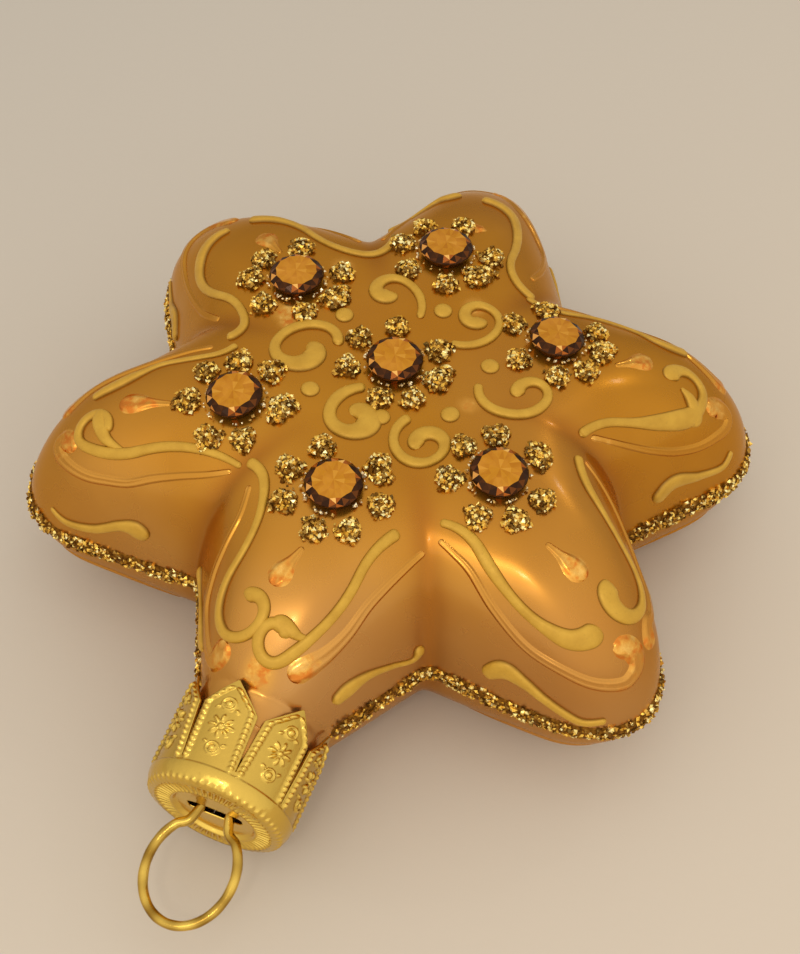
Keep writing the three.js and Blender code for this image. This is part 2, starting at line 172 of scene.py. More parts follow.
SCROLLS = {
    "left_high_outer": ((-28.2, 15.5), -143, [(5.3, 68), (9.5, 57), (5.7, -39), (3.9, -85)],
                        (1.2, 2.1, 1.5, 1.3, 1.3, 1.4)),
    "left_high_inner": ((-26.8, 17.8), 24, [(8.8, -58), (7.6, 44), (6, 102)], (1.8, 1.3, 1.1, 1.2, 1.5)),
    "left_upper": ((-18.1, -3.6), -112, [(3.3, -41), (4.8, -3), (1.9, 25), (7.2, -14)],
                   (1.1, 0.9, 0.9, 1, 1.7, 1.2)),
    "left_lower": ((-10.8, -18.3), 166, [(4.9, 15), (7.3, 23), (7.2, -41), (5, -168), (3, -87)],
                   (0.9, 1.2, 1.4, 1.5, 1.7, 1.5, 1.3, 1.4)),
    "cap_left": ((-10.3, -17.7), -7, [(3.9, -58), (9.4, -43), (6.2, 63), (5.5, 136), (3.7, 132)],
                 (1.6, 1.4, 1.1, 1.1, 1.4, 1.5, 1.5, 2.1)),
    "cap_right": ((8.3, -19.8), -126, [(6.3, 33), (11.3, -37), (4.1, -132), (4.2, -169)],
                  (1.7, 1.4, 1.4, 1.4, 1.7, 1.6, 1.6)),
    "low_right": ((22.3, -2.3), -67, [(5.1, 29), (7.9, 4), (3.7, -33), (2.2, -39), (5.6, -175)],
                  (1.3, 1.2, 0.9, 0.9, 1.2, 2.2, 3.2)),
    "low_left": ((11.8, -17.1), 12, [(5.2, -48), (6.7, 19), (5.1, 16), (4.5, 69)],
                 (1.1, 1.5, 1.7, 1.4, 1.6, 2.7, 3.6)),
    "right_lower": ((21.6, 0.6), 69, [(5.1, -33), (8.6, 11), (3.9, 45), (1.9, 43), (5.4, 153)],
                    (1.4, 1.3, 1.4, 2.4, 3, 1.6, 1.4, 3.2)),
    "right_upper": ((9.3, 17.4), -22, [(6.6, 58), (8.3, -59), (5.5, 69)], (1, 0.9, 1, 1, 1.8)),
    "top_right": ((-1.8, 32.2), 21, [(5.8, -81), (7.9, -26), (7.5, 77)], (1.5, 1.7, 1.4, 1.3, 1.3)),
}
DOTS = [(-8.7, 5.2), (1.5, 10.2), (9.4, 4.5), (7.8, -3.8), (0.9, -7.1), (-7.7, -6.8)]
DOT_RADIUS = 1.1
# The width of a stroke that stands at the full height, how far strokes are sunk into the glass, and
# their points across.
ENAMEL_WIDTH = 1.1
ENAMEL_SINK = 0.04
ENAMEL_COLUMNS = 13

# Strokes off the front's flat part: the arm they are on, their places along it, to its side and
# over the seam, and their widths.
WALL_STROKES = {
    "left_leaf": (5, [(32.7, -0.5, 15.2), (33.5, 0, 14.8), (33.4, 1.4, 14.6), (32.8, 3.1, 14.4),
                      (30.8, 5, 14.4)], (1.3, 2.2, 2.2, 1.5, 0.4)),
    "cap_leaf": (0, [(33.1, -0.3, 14.5), (33.4, 0.5, 14.3), (33.5, 1.4, 14.1), (33.7, 3, 13.5),
                     (33.2, 4.3, 13.3)], (1.5, 2.3, 2.2, 1.1, 0.4)),
    "right_leaf": (2, [(33.2, -6.6, 12), (33.6, -5.4, 12.9), (32.9, -4, 14), (32.2, -3.2, 14.6)],
                   (2.6, 2.4, 1.4, 0.4)),
    "left_low": (5, [(40.3, 4, 4.3), (38.5, 5.7, 3.5), (35.4, 7.4, 4.2), (32.4, 8.8, 6.1),
                     (30.6, 9.8, 6.3), (29.6, 10.6, 5.3)], (0.7, 1.1, 1.4, 1.7, 3, 2.2)),
    "cap_low": (0, [(24.9, 13.2, 5.5), (26, 12.8, 4), (28.3, 11.3, 5.1), (31.2, 9.4, 6.2),
                    (33.4, 8.1, 6), (35.2, 7.2, 5.5)], (2, 0.9, 0.9, 1.4, 2.6, 1.6)),
    "right_low_wall": (1, [(30.2, -11, 4.1), (31.8, -9.8, 5.9), (34.2, -8.8, 5.4), (36.4, -7.9, 4.3),
                           (38.8, -6.9, 3.2), (40.6, -5.7, 2.4), (42.2, -3.7, 2.8)],
                       (2, 3, 1.9, 1.4, 1.3, 1.2, 1)),
    "right_wall": (2, [(39.3, -6.4, 6.3), (38.1, -7.6, 4.9), (34.7, -8.9, 5.5), (31.1, -10.3, 6.5),
                       (28.9, -11.7, 4.8)], (1, 1.1, 1.4, 2.6, 2.2)),
    "top_left_leaf": (3, [(32.4, 4.4, 15), (31.4, 5.6, 15.1), (30, 7, 14.2), (26.5, 9, 13),
                          (23, 9.9, 14.6)], (1, 1.7, 1.2, 0.9, 1.2)),
}
# The strokes on the walls that face away: their places for a left-hand wall, their widths, and the
# arms and sides that have them.
FAR_STROKES = [
    ([(24.9, 13, 5.5), (28, 12, 4.8), (32, 10.2, 5.8), (35, 8.3, 5.6)], (1.8, 1, 1.4, 2.4),
     [(0, -1), (1, 1), (2, 1), (3, -1), (4, -1), (5, -1)]),
    ([(38.5, 6.6, 4.5), (35, 9, 4.9), (31.4, 10.4, 6.1), (29, 11.8, 5.1)], (0.8, 1.2, 2.5, 1.7),
     [(3, 1), (4, 1)]),
]
# The stroke on the back of each arm but the cap's.
BACK_STROKE = ([(28.4, -1.6, -11), (30.2, 0.9, -10.6), (32.6, 1.1, -9.8), (34.4, -1, -9), (36.2, -0.2, -8)],
               (0.9, 1.3, 1.4, 1.6, 2.4))


def even_outline(bearing):
    """The reach of an even star's seam: a round tip, a straight flank and a small round notch."""
    folded = np.abs((bearing % ARM_STEP + ARM_STEP * 1.5) % ARM_STEP - ARM_STEP / 2)
    angle = np.radians(folded)
    half = math.radians(ARM_STEP / 2)
    tip_centre = TIP_REACH - TIP_RADIUS
    notch_centre = NOTCH_REACH + NOTCH_RADIUS
    dx = notch_centre * math.cos(half) - tip_centre
    dy = notch_centre * math.sin(half)
    lean = math.atan2(dy, dx) - math.acos((TIP_RADIUS + NOTCH_RADIUS) / math.hypot(dx, dy))
    touch_x = tip_centre + TIP_RADIUS * math.cos(lean)
    touch_y = TIP_RADIUS * math.sin(lean)
    notch_x = notch_centre * math.cos(half) - NOTCH_RADIUS * math.cos(lean)
    notch_y = notch_centre * math.sin(half) - NOTCH_RADIUS * math.sin(lean)
    across = np.maximum(TIP_RADIUS ** 2 - (tip_centre * np.sin(angle)) ** 2, 0)
    tip = tip_centre * np.cos(angle) + np.sqrt(across)
    flank = (touch_x * math.cos(lean) + touch_y * math.sin(lean)) / np.cos(angle - lean)
    off = half - angle
    across = np.maximum(NOTCH_RADIUS ** 2 - (notch_centre * np.sin(off)) ** 2, 0)
    notch = notch_centre * np.cos(off) - np.sqrt(across)
    at_tip = angle <= math.atan2(touch_y, touch_x)
    at_notch = angle >= math.atan2(notch_y, notch_x)
    return np.where(at_tip, tip, np.where(at_notch, notch, flank))


def sharp_outline(bearing):
    """The seam's reach at a bearing, with each arm's own length and lean."""
    nearest = np.round(bearing / ARM_STEP)
    arm = nearest.astype(int) % ARM_COUNT
    share = 1 - np.abs(bearing - nearest * ARM_STEP) / (ARM_STEP / 2)
    return even_outline(bearing - ARM_LEAN[arm] * share) * (1 + ARM_LONGER[arm] / TIP_REACH * share)


def outline(bearing):
    """The seam's reach with its notches softened, as the blown glass has them."""
    weights = {-2.2: 1, -1.1: 2, 0: 3, 1.1: 2, 2.2: 1}
    total = sum(sharp_outline(bearing + turn) * weight for turn, weight in weights.items())
    return total / sum(weights.values())


MEAN_REACH = even_outline(np.arange(360.0)).mean()


def plan(bearing, reach):
    """Swings a bearing and a reach to x and y."""
    angle = np.radians(bearing)
    return np.stack([reach * np.sin(angle), -reach * np.cos(angle)], -1)


def reach_at(bearing, share):
    """The reach at a share of the way out: nearly round at the centre, star-shaped at the seam."""
    return share * (MEAN_REACH + (outline(bearing) - MEAN_REACH) * share ** ARM_SPREAD)


def height_at(half, share):
    """The height of a half of the glass over the seam at a share of the way out."""
    out = rising(share, half["rest"], 1 - half["rest"])
    return half["height"] * (1 - out ** half["flat"]) ** (1 / half["round"])


def wall_share(rise):
    """The share of the way out at which the glass is this far over, or under, its seam."""
    halves = [np.where(rise >= 0, FRONT[key], BACK[key]) for key in ("height", "flat", "round", "rest")]
    height, flat, curve, rest = halves
    return rest + (1 - (np.abs(rise) / height) ** curve) ** (1 / flat) * (1 - rest)


# ---- Mesh helpers ----

def unit(vectors):
    """Vectors of length one."""
    return vectors / np.maximum(np.linalg.norm(vectors, axis=-1, keepdims=True), 1e-9)


def turned(across, along, angle):
    """A pair of coordinates turned through an angle."""
    return (across * math.cos(angle) - along * math.sin(angle),
            across * math.sin(angle) + along * math.cos(angle))


def rising(value, start, run):
    """A value's way from a start over a run: 0 before it and 1 beyond; a run may go backwards."""
    return np.clip((value - start) / run, 0, 1)


def round_turn(count):
    """Angles spaced evenly round a full turn."""
    return np.linspace(0, 2 * math.pi, count, endpoint=False)


def travel(places):
    """How far along a path each of its places is."""
    return np.concatenate([[0], np.cumsum(np.linalg.norm(np.diff(places, axis=0), axis=1))])


def dome(reach):
    """The height of a low round heap, from one at its middle to nothing at its rim."""
    return np.clip(1 - reach ** 2.4, 0, 1) ** 0.6


def grid_faces(rows, columns, wrap=False):
    """Triangles over a grid of points, wrapped round its columns if asked."""
    row = np.arange(rows - 1)[:, None] * columns
    column = np.arange(columns if wrap else columns - 1)[None, :]
    following = (column + 1) % columns
    corners = [row + column, row + following, row + columns + following, row + columns + column]
    a, b, c, d = [corner.ravel() for corner in corners]
    return np.concatenate([np.stack([a, b, c], -1), np.stack([a, c, d], -1)])


def fan_faces(centre, rim):
    """Triangles from one point to a closed rim of points."""
    return np.stack([np.full(len(rim), centre), rim, np.roll(rim, -1)], -1)


def join(parts):
    """Joins (points, faces) pairs, or the same with a value for each point, into one."""
    points, faces, *values = zip(*parts)
    starts = np.cumsum([0] + [len(part) for part in points[:-1]])
    faces = [part + start for part, start in zip(faces, starts)]
    return [np.concatenate(column) for column in (points, faces, *values)]


def weld(points, faces, step=1e-4):
    """Makes one point of all that coincide, and drops the faces that this closes up."""
    keys = np.round(points / step).astype(np.int64)
    _, first, inverse = np.unique(keys, axis=0, return_index=True, return_inverse=True)
    faces = inverse.reshape(-1)[faces]
    a, b, c = faces.T
    return points[first], faces[(a != b) & (b != c) & (a != c)], first


def point_normals(points, faces):
    """Each point's outward direction, from the faces round it."""
    a, b, c = np.moveaxis(points[faces], 1, 0)
    across = np.cross(b - a, c - a)
    normals = np.zeros_like(points)
    for corner in range(3):
        np.add.at(normals, faces[:, corner], across)
    return unit(normals)


def thicken(points, faces, thickness):
    """Gives a skin a thickness inwards, with walls along its open edges."""
    inner = points - point_normals(points, faces) * thickness
    edges = np.concatenate([faces[:, [0, 1]], faces[:, [1, 2]], faces[:, [2, 0]]])
    count = len(points)
    forward = edges[:, 0] * count + edges[:, 1]
    backward = edges[:, 1] * count + edges[:, 0]
    rim = edges[~np.isin(forward, backward)]
    a, b = rim.T
    walls = np.concatenate([np.stack([b, a, a + count], -1), np.stack([b, a + count, b + count], -1)])
    return np.concatenate([points, inner]), np.concatenate([faces, faces[:, ::-1] + count, walls])


def new_piece(name, slot, nodes, points, faces, material, smooth=True, **marks):
    """Makes a piece of millimetre points over the seam, with values marked on its points and the given
    material, hangs it on its body and hides the solid's nodes that it stands for, if any."""
    mesh = bpy.data.meshes.new(name)
    mesh.vertices.add(len(points))
    placed = (points + np.array([0, 0, BACK["height"]])) * MM
    mesh.vertices.foreach_set("co", placed.astype(np.float32).ravel())
    mesh.loops.add(faces.size)
    mesh.loops.foreach_set("vertex_index", faces.astype(np.int32).ravel())
    mesh.polygons.add(len(faces))
    mesh.polygons.foreach_set("loop_start", np.arange(0, faces.size, 3, dtype=np.int32))
    mesh.polygons.foreach_set("use_smooth", np.full(len(faces), smooth))
    for label, values in marks.items():
        layer = mesh.attributes.new(label, "FLOAT", "POINT")
        layer.data.foreach_set("value", values.astype(np.float32))
    mesh.update(calc_edges=True)
    mesh.materials.append(material)
    piece = bpy.data.objects.new(name, mesh)
    bpy.context.collection.objects.link(piece)
    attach(piece, BODY)
    if nodes:
        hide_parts(*nodes)


# ---- Finishes ----

class Recipe:
    """The node tree of a material, or of the room, wired with one short call for each node."""

    def __init__(self, owner, shader="Principled BSDF"):
        owner.use_nodes = True
        self.owner = owner
        self.tree = owner.node_tree
        self.shader = self.tree.nodes[shader]

    def add(self, kind, inputs=None, **options):
        """Adds a node; an input is a value, or an output of another node to link."""
        node = self.tree.nodes.new(kind)
        for label, value in options.items():
            setattr(node, label, value)
        self.feed(node, inputs or {})
        return node

    def feed(self, node, inputs):
        """Sets or links the inputs of a node by name or number."""
        for label, value in inputs.items():
            if isinstance(value, bpy.types.NodeSocket):
                self.tree.links.new(value, node.inputs[label])
            else:
                node.inputs[label].default_value = value

    def finish(self, inputs):
        """Feeds the shader and hands over what the recipe is for."""
        self.feed(self.shader, inputs)
        return self.owner

    def noise(self, scale, detail, roughness=0.5):
        """Noise over the piece's own coordinates, its scale in repeats a metre."""
        place = self.add("ShaderNodeTexCoord").outputs["Object"]
        inputs = {"Vector": place, "Scale": scale, "Detail": detail, "Roughness": roughness}
        return self.add("ShaderNodeTexNoise", inputs).outputs["Fac"]

    def remap(self, value, low, high, start, end):
        """Carries a value from one range to another."""
        inputs = {"Value": value, "From Min": low, "From Max": high, "To Min": start, "To Max": end}
        return self.add("ShaderNodeMapRange", inputs).outputs["Result"]

    def clouds(self, scale, detail, *ranges):
        """Noise carried from one range to another."""
        return self.remap(self.noise(scale, detail), *ranges)

    def bumps(self, scale, detail, strength, distance):
        """Noise as small relief, its distance in metres."""
        inputs = {"Height": self.noise(scale, detail), "Strength": strength, "Distance": distance}
        return self.add("ShaderNodeBump", inputs).outputs["Normal"]

    def sum_up(self, operation, *values):
        """Arithmetic with numbers or outputs."""
        return self.add("ShaderNodeMath", dict(enumerate(values)), operation=operation).outputs[0]

    def along(self, direction, coordinates="Object"):
        """How far along a direction each place is."""
        place = self.add("ShaderNodeTexCoord").outputs[coordinates]
        inputs = {0: place, 1: direction}
        return self.add("ShaderNodeVectorMath", inputs, operation="DOT_PRODUCT").outputs["Value"]

    def ramp(self, factor, stops):
        """Colours along a factor, as (place, colour) stops."""
        node = self.add("ShaderNodeValToRGB", {"Fac": factor})
        elements = node.color_ramp.elements
        while len(elements) < len(stops):
            elements.new(0.5)
        for element, (place, tint) in zip(elements, stops):
            element.position = place
            element.color = (*tint, 1)
        return node.outputs["Color"]

    def mix(self, factor, first, second):
        """One colour over another, as much as the factor says."""
        tones = [tone if isinstance(tone, bpy.types.NodeSocket) else (*tone, 1) for tone in (first, second)]
        node = self.add("ShaderNodeMix", data_type="RGBA")
        self.feed(node, {0: factor, 6: tones[0], 7: tones[1]})
        return node.outputs[2]

    def attribute(self, label):
        """A value kept on the mesh's points."""
        return self.add("ShaderNodeAttribute", attribute_name=label).outputs["Fac"]

    def island(self):
        """A number of its own for each loose part of the mesh."""
        return self.add("ShaderNodeNewGeometry").outputs["Random Per Island"]


def new_recipe(name):
    """A recipe for a new material."""
    return Recipe(bpy.data.materials.new(name))


def settings():
    """The sizes and colours in the sidebar."""
    return bpy.context.scene.star_ornament


def in_mm(name):
    """A length from the sidebar, in millimetres."""
    return getattr(settings(), name) / MM


def lacquer_material():
    """Gold-brown lacquer over silvered glass: satin, a little uneven, rubbed bright on the relief, with a
    painted pearly sheen on the near, low walls and painted shade along the valleys.
    """
    recipe = new_recipe("gold_lacquer")
    colours = settings()
    tone = recipe.mix(recipe.clouds(60, 3, 0.35, 0.65, 0, 1), colours.lacquer_dark, colours.lacquer)
    # Painted sheen: the walls facing the near, low side are paler and pearly, in clouds; other pearly
    # clouds fall at random.
    painted_sheen_side = recipe.remap(recipe.along((0, -1, -0.6)), -0.012, 0.03, 0, 0.9)
    pearly = recipe.sum_up("MULTIPLY_ADD", painted_sheen_side, recipe.clouds(32, 2, 0.4, 0.65, 0.2, 0.95),
                           recipe.clouds(19, 2, 0.5, 0.7, 0, 0.35))
    tone = recipe.mix(pearly, tone, colours.lacquer_pearl_and_sheen)
    tone = recipe.mix(recipe.clouds(27, 2, 0.48, 0.66, 0, 0.45), tone, colours.lacquer_pooled)
    # Painted shade along the valleys, where the lacquer also runs thick.
    tone = recipe.mix(recipe.attribute("pooled"), tone, colours.lacquer_pooled)
    worn = recipe.attribute("rubbed")
    tone = recipe.mix(recipe.remap(worn, 0, 0.6, 0, 0.5), tone, colours.rubbed_middle)
    bare = recipe.ramp(recipe.noise(650, 3, 0.6), [
        (0.4, colours.rubbed), (0.52, colours.rubbed_middle), (0.66, colours.rubbed_pale)])
    ragged = recipe.sum_up("ADD", worn, recipe.clouds(700, 3, 0.3, 0.7, -0.3, 0.3))
    tone = recipe.mix(recipe.remap(ragged, 0.55, 0.9, 0, 1), tone, bare)
    satin = recipe.clouds(240, 3, 0.3, 0.7, 0.24, 0.34)
    return recipe.finish({
        "Base Color": tone, "Metallic": 0.88,
        "Roughness": recipe.sum_up("SUBTRACT", satin, recipe.remap(worn, 0, 0.3, 0, 0.12)),
        "Specular IOR Level": 0.3, "Specular Tint": (1, 0.78, 0.45, 1),
        "Coat Weight": 0.22, "Coat Roughness": 0.1, "Coat IOR": 1.5,
        "Normal": recipe.bumps(160, 2, 0.1, 0.0004),
    })


def enamel_material():
    """Raised ochre enamel, satin and slightly chalky, with painted shade down its edges where they meet the
    glass.
    """
    recipe = new_recipe("raised_enamel")
    colours = settings()
    cloud = recipe.remap(recipe.noise(420, 4, 0.6), 0.3, 0.7, 0, 1)
    tone = recipe.mix(cloud, colours.enamel_dark, colours.enamel)
    tone = recipe.mix(recipe.clouds(4200, 2, 0.62, 0.72, 0, 0.35), tone, (0.42, 0.22, 0.03))
    # Painted contact shade darkens the strokes' edges.
    tone = recipe.mix(recipe.remap(recipe.attribute("edge"), 0.2, 0.9, 0, 0.85), tone, colours.enamel_edge_shade)
    return recipe.finish({
        "Base Color": tone, "Metallic": 0.25, "Specular IOR Level": 0.3,
        "Roughness": recipe.clouds(1500, 2, 0.3, 0.7, 0.36, 0.5),
        "Normal": recipe.bumps(2600, 3, 0.2, 0.00012),
    })


def glitter_material():
    """Grains of gold foil, each one its own tone from near black to pale: painted shade and painted glints
    on single grains.
    """
    recipe = new_recipe("gold_glitter")
    island = recipe.island()
    # Each grain's tone: dark ones are painted shade, the palest are painted glints.
    foil = recipe.ramp(island, [
        (0, (0.07, 0.018, 0.001)), (0.3, (0.2, 0.075, 0.005)), (0.5, (0.6, 0.3, 0.028)),
        (0.68, (1, 0.64, 0.1)), (0.85, (1, 0.83, 0.3)), (1, (1, 0.93, 0.52))])
    tone = recipe.mix(recipe.clouds(1500, 1, 0.3, 0.7, 0, 0.25), foil, (1, 0.72, 0.2))
    pale = recipe.ramp(island, [(0.3, (0.7, 0.44, 0.13)), (0.7, (1, 0.86, 0.55))])
    return recipe.finish({
        "Base Color": recipe.mix(recipe.attribute("bright"), tone, pale), "Metallic": 0.75,
        "Specular IOR Level": 0.1, "Specular Tint": (0.8, 0.42, 0.1, 1),
        "Roughness": recipe.remap(island, 0, 1, 0.45, 0.22),
    })


def glue_material():
    """The dark gold glue under the grains."""
    recipe = new_recipe("glitter_glue")
    tone = recipe.ramp(recipe.noise(2400, 3), [(0.35, (0.07, 0.022, 0.002)), (0.65, (0.26, 0.11, 0.012))])
    return recipe.finish({
        "Base Color": tone, "Metallic": 0.1, "Roughness": 0.55, "Specular IOR Level": 0.1,
        "Specular Tint": (1, 0.6, 0.2, 1), "Normal": recipe.bumps(3000, 2, 0.6, 0.0003),
    })


def crystal_material():
    """Amber glass with foil behind it, drawn opaque: a crown whose facets go from dark brown, painted
    shade, to bright orange, painted glints, round a lighter window whose facets carry painted reflections.
    """
    recipe = new_recipe("foiled_crystal")
    colours = settings()
    island = recipe.island()
    # The crown's facets, each its own tone: mostly dark brown, painted shade, and a few bright orange,
    # painted glints.
    crown = recipe.ramp(island, [
        (0, (0.02, 0.006, 0.001)), (0.55, (0.06, 0.018, 0.003)), (0.78, (0.15, 0.042, 0.005)),
        (0.9, (0.5, 0.13, 0.013)), (1, (1, 0.6, 0.16))])
    # The window's facets, each its own tone: painted reflections of the facets beneath.
    window = recipe.ramp(island, [
        (0, colours.amber_dark), (0.85, colours.amber), (1, (0.66, 0.31, 0.035))])
    window = recipe.mix(recipe.clouds(500, 2, 0.4, 0.65, 0, 0.35), window, (0.75, 0.33, 0.05))
    return recipe.finish({
        "Base Color": recipe.mix(recipe.attribute("window"), crown, window), "Metallic": 0.3,
        "Roughness": 0.16, "Specular IOR Level": 0.1,
        "Coat Weight": 0.08, "Coat Roughness": 0.03, "Coat IOR": 1.5,
    })


def gold_material(name, shade_and_wear):
    """Stamped or drawn brass with a gold wash, darker where it is stained, and darker where it is low:
    painted shade in the cap's recesses, and worn streaks on the wire.
    """
    recipe = new_recipe(name)
    colours = settings()
    stain = recipe.remap(recipe.noise(260, 4, 0.65), 0.5, 0.75, 0, 0.5)
    # Painted shade where the relief is low, or worn streaks on the wire, and the stains, whichever is
    # darker.
    shade = recipe.sum_up("MAXIMUM", recipe.remap(recipe.attribute("raised"), 0, 1, shade_and_wear, 0), stain)
    return recipe.finish({
        "Base Color": recipe.mix(shade, colours.gold, colours.gold_stain_and_shade), "Metallic": 1.0,
        "Roughness": recipe.clouds(900, 3, 0.3, 0.7, 0.13, 0.26),
        "Normal": recipe.bumps(700, 3, 0.3, 0.0002),
    })


# ---- The glass ----

def leaf_share(distance):
    """How far down the leaves a distance is: 0 at the cap's shoulder and 1 at the side tips."""
    return (CAP["shoulder"] - distance) / (CAP["shoulder"] - CAP["side_tip"])


def on_neck(points):
    """Seats a piece of the cap on the neck: drooping, a little low and to one side."""
    along, rise = turned(points[:, 1] + CAP_SEAT["hinge"], points[:, 2], math.radians(CAP_SEAT["droop"]))
    return np.stack([points[:, 0] + CAP_SEAT["shift"], along - CAP_SEAT["hinge"],
                     rise - CAP_SEAT["drop"]], -1)


def tuck_into_cap(points):
    """Rolls the cap's arm in, so that it enters under the cap's leaves."""
    x = points[:, 0] - CAP_SEAT["shift"]
    along, rise = turned(points[:, 1] + CAP_SEAT["hinge"], points[:, 2] + CAP_SEAT["drop"],
                         math.radians(-CAP_SEAT["droop"]))
    radius = np.hypot(x, rise)
    distance = CAP_SEAT["hinge"] - along
    up = np.maximum(rise / np.maximum(radius, 1e-6), 0) ** 2
    tip = CAP["side_tip"] + (CAP["top_tip"] - CAP["side_tip"]) * up
    under = CAP["radius"] + CAP["flare"] * np.clip(leaf_share(distance), 0, 1) * up - TUCK["clearance"]
    room = under + np.maximum(tip + 0.2 - distance, 0) * TUCK["flank"]
    shrink = rising(distance, TUCK["neck"], -TUCK["neck_run"]) ** 1.5
    neck = under - TUCK["neck_step"] - TUCK["neck_depth"] * shrink
    filled = (radius + neck + np.sqrt((radius - neck) ** 2 + TUCK["neck_soft"] ** 2)) / 2
    tucked = (filled + room - np.sqrt((filled - room) ** 2 + TUCK["soft"] ** 2)) / 2
    blend = rising(distance, TUCK["blend"], TUCK["full"] - TUCK["blend"])
    tucked = np.where(distance > TUCK["full"], tucked, radius + (tucked - radius) * blend)
    rolled = distance > TUCK["start"]
    scale = np.where(rolled, tucked / np.maximum(radius, 1e-6), 1)
    seated = on_neck(np.stack([x * scale, -distance, rise * scale], -1))
    return np.where(rolled[:, None], seated, points)


def hand_dents(points):
    """How far the hand-blown skin swells or sinks at each point."""
    rng = np.random.default_rng(11)
    depth = np.zeros(len(points))
    for size, amount in DENTS:
        for _ in range(DENT_WAVES):
            wave = unit(rng.normal(size=3)) * 2 * math.pi / size
            depth += amount / 2 * np.sin(points @ wave + rng.uniform(0, 2 * math.pi))
    return depth


def glass_shares(half):
    """Shares of the way out, evenly over the flat part and closer towards the seam."""
    even_rows, edge_rows = half["rows"]
    start = math.asin(half["even_to"] ** (half["flat"] / 2))
    angles = np.linspace(start, math.pi / 2, edge_rows)
    shares = np.concatenate([np.linspace(0, half["even_to"], even_rows, endpoint=False),
                             np.sin(angles) ** (2 / half["flat"])])
    return half["rest"] + shares * (1 - half["rest"])


def glass_bearings():
    """Bearings round the star, closest together at the notches."""
    spread = np.linspace(-1, 1, COLUMNS_PER_ARM, endpoint=False)
    offset = ARM_STEP / 2 * np.sign(spread) * np.abs(spread) ** 1.3
    return np.concatenate([ARM_STEP * (arm + 0.5) + offset for arm in range(ARM_COUNT)])


def star_skin():
    """The star's whole skin, front and back, as points and faces."""
    bearings = glass_bearings()
    columns = len(bearings)
    front = glass_shares(FRONT)
    back = np.concatenate([REST_RINGS, glass_shares(BACK)])
    rings = []
    for half, shares, side in ((FRONT, front[1:], 1), (BACK, back[-2::-1], -1)):
        for share in shares:
            level = np.full(columns, side * height_at(half, share))
            rings.append(np.column_stack([plan(bearings, reach_at(bearings, share)), level]))
    rows = len(rings)
    points = np.concatenate([*rings, [[0, 0, FRONT["height"]], [0, 0, -BACK["height"]]]])
    rim = np.arange(columns)
    faces = np.concatenate([
        grid_faces(rows, columns, wrap=True)[:, ::-1],
        fan_faces(rows * columns, rim),
        fan_faces(rows * columns + 1, rim[::-1] + (rows - 1) * columns),
    ])
    return points, faces


def neck_skin():
    """The arm's rolled end just under the cap's leaves, closing on the neck that the cap grips."""
    angles = round_turn(NECK_COLUMNS)
    up = np.maximum(np.cos(angles), 0) ** 2
    rings = []
    for distance, inset in NECK_RINGS:
        radius = CAP["radius"] + CAP["flare"] * leaf_share(distance) * up - inset
        level = np.full(len(angles), -distance)
        rings.append(np.column_stack([radius * np.sin(angles), level, radius * np.cos(angles)]))
    return on_neck(np.concatenate(rings)), grid_faces(len(rings), len(angles), wrap=True)


class GlassSurface:
    """The finished glass, for seating what lies on it."""

    def __init__(self, piece):
        mesh = piece.data
        points = np.empty(len(mesh.vertices) * 3)
        mesh.vertices.foreach_get("co", points)
        corners = np.empty(len(mesh.polygons) * 3, dtype=np.int64)
        mesh.loops.foreach_get("vertex_index", corners)
        self.points = points.reshape(-1, 3) / MM - np.array([0, 0, BACK["height"]])
        self.faces = corners.reshape(-1, 3)
        self.normals = point_normals(self.points, self.faces)
        self.tree = BVHTree.FromPolygons(self.points.tolist(), self.faces.tolist())

    def seat(self, hits):
        """The places of hits on the glass, and its normals there, smoothed over each face."""
        if any(hit[0] is None for hit in hits):
            raise RuntimeError("a place to seat lies off the glass")
        spots = np.array([hit[0] for hit in hits])
        corners = self.faces[[hit[2] for hit in hits]]
        a, b, c = np.moveaxis(self.points[corners], 1, 0)
        areas = [np.linalg.norm(np.cross(first - spots, second - spots), axis=-1)
                 for first, second in ((b, c), (c, a), (a, b))]
        return spots, unit(np.einsum("ki,ikj->ij", areas, self.normals[corners]) + 1e-9)

    def near(self, places):
        """The nearest points of the glass and its normals there."""
        return self.seat([self.tree.find_nearest(Vector(place)) for place in places])

    def below(self, places):
        """The points of the front under places in plan, and its normals there."""
        down = Vector((0, 0, -1))
        return self.seat([self.tree.ray_cast(Vector((x, y, CLEAR_ABOVE)), down) for x, y in places])


@functools.cache
def glass_surface():
    """The glass's surface, read from its piece once."""
    return GlassSurface(bpy.data.objects["star"])


# ---- Strokes laid on the glass ----

def pen_path(start, heading, runs, step=0.15, softness=1.2):
    """Walks a pen along runs of (length, turn) and returns its places."""
    total = sum(length for length, _ in runs)
    count = max(8, round(total / step))
    step = total / count
    along = (np.arange(count) + 0.5) * step
    turning = np.zeros(count)
    begin = 0
    for length, turn in runs:
        turning[(along >= begin) & (along < begin + length)] = turn / length
        begin += length
    reach = max(1, round(softness / step))
    window = np.hanning(2 * reach + 3)[1:-1]
    turning = np.convolve(np.pad(turning, reach, mode="edge"), window / window.sum(), "valid")
    angle = np.radians(heading + np.cumsum(turning) * step - turning * step / 2)
    steps = np.stack([np.cos(angle), np.sin(angle)], -1) * step
    return np.concatenate([[start], np.array(start) + np.cumsum(steps, axis=0)])


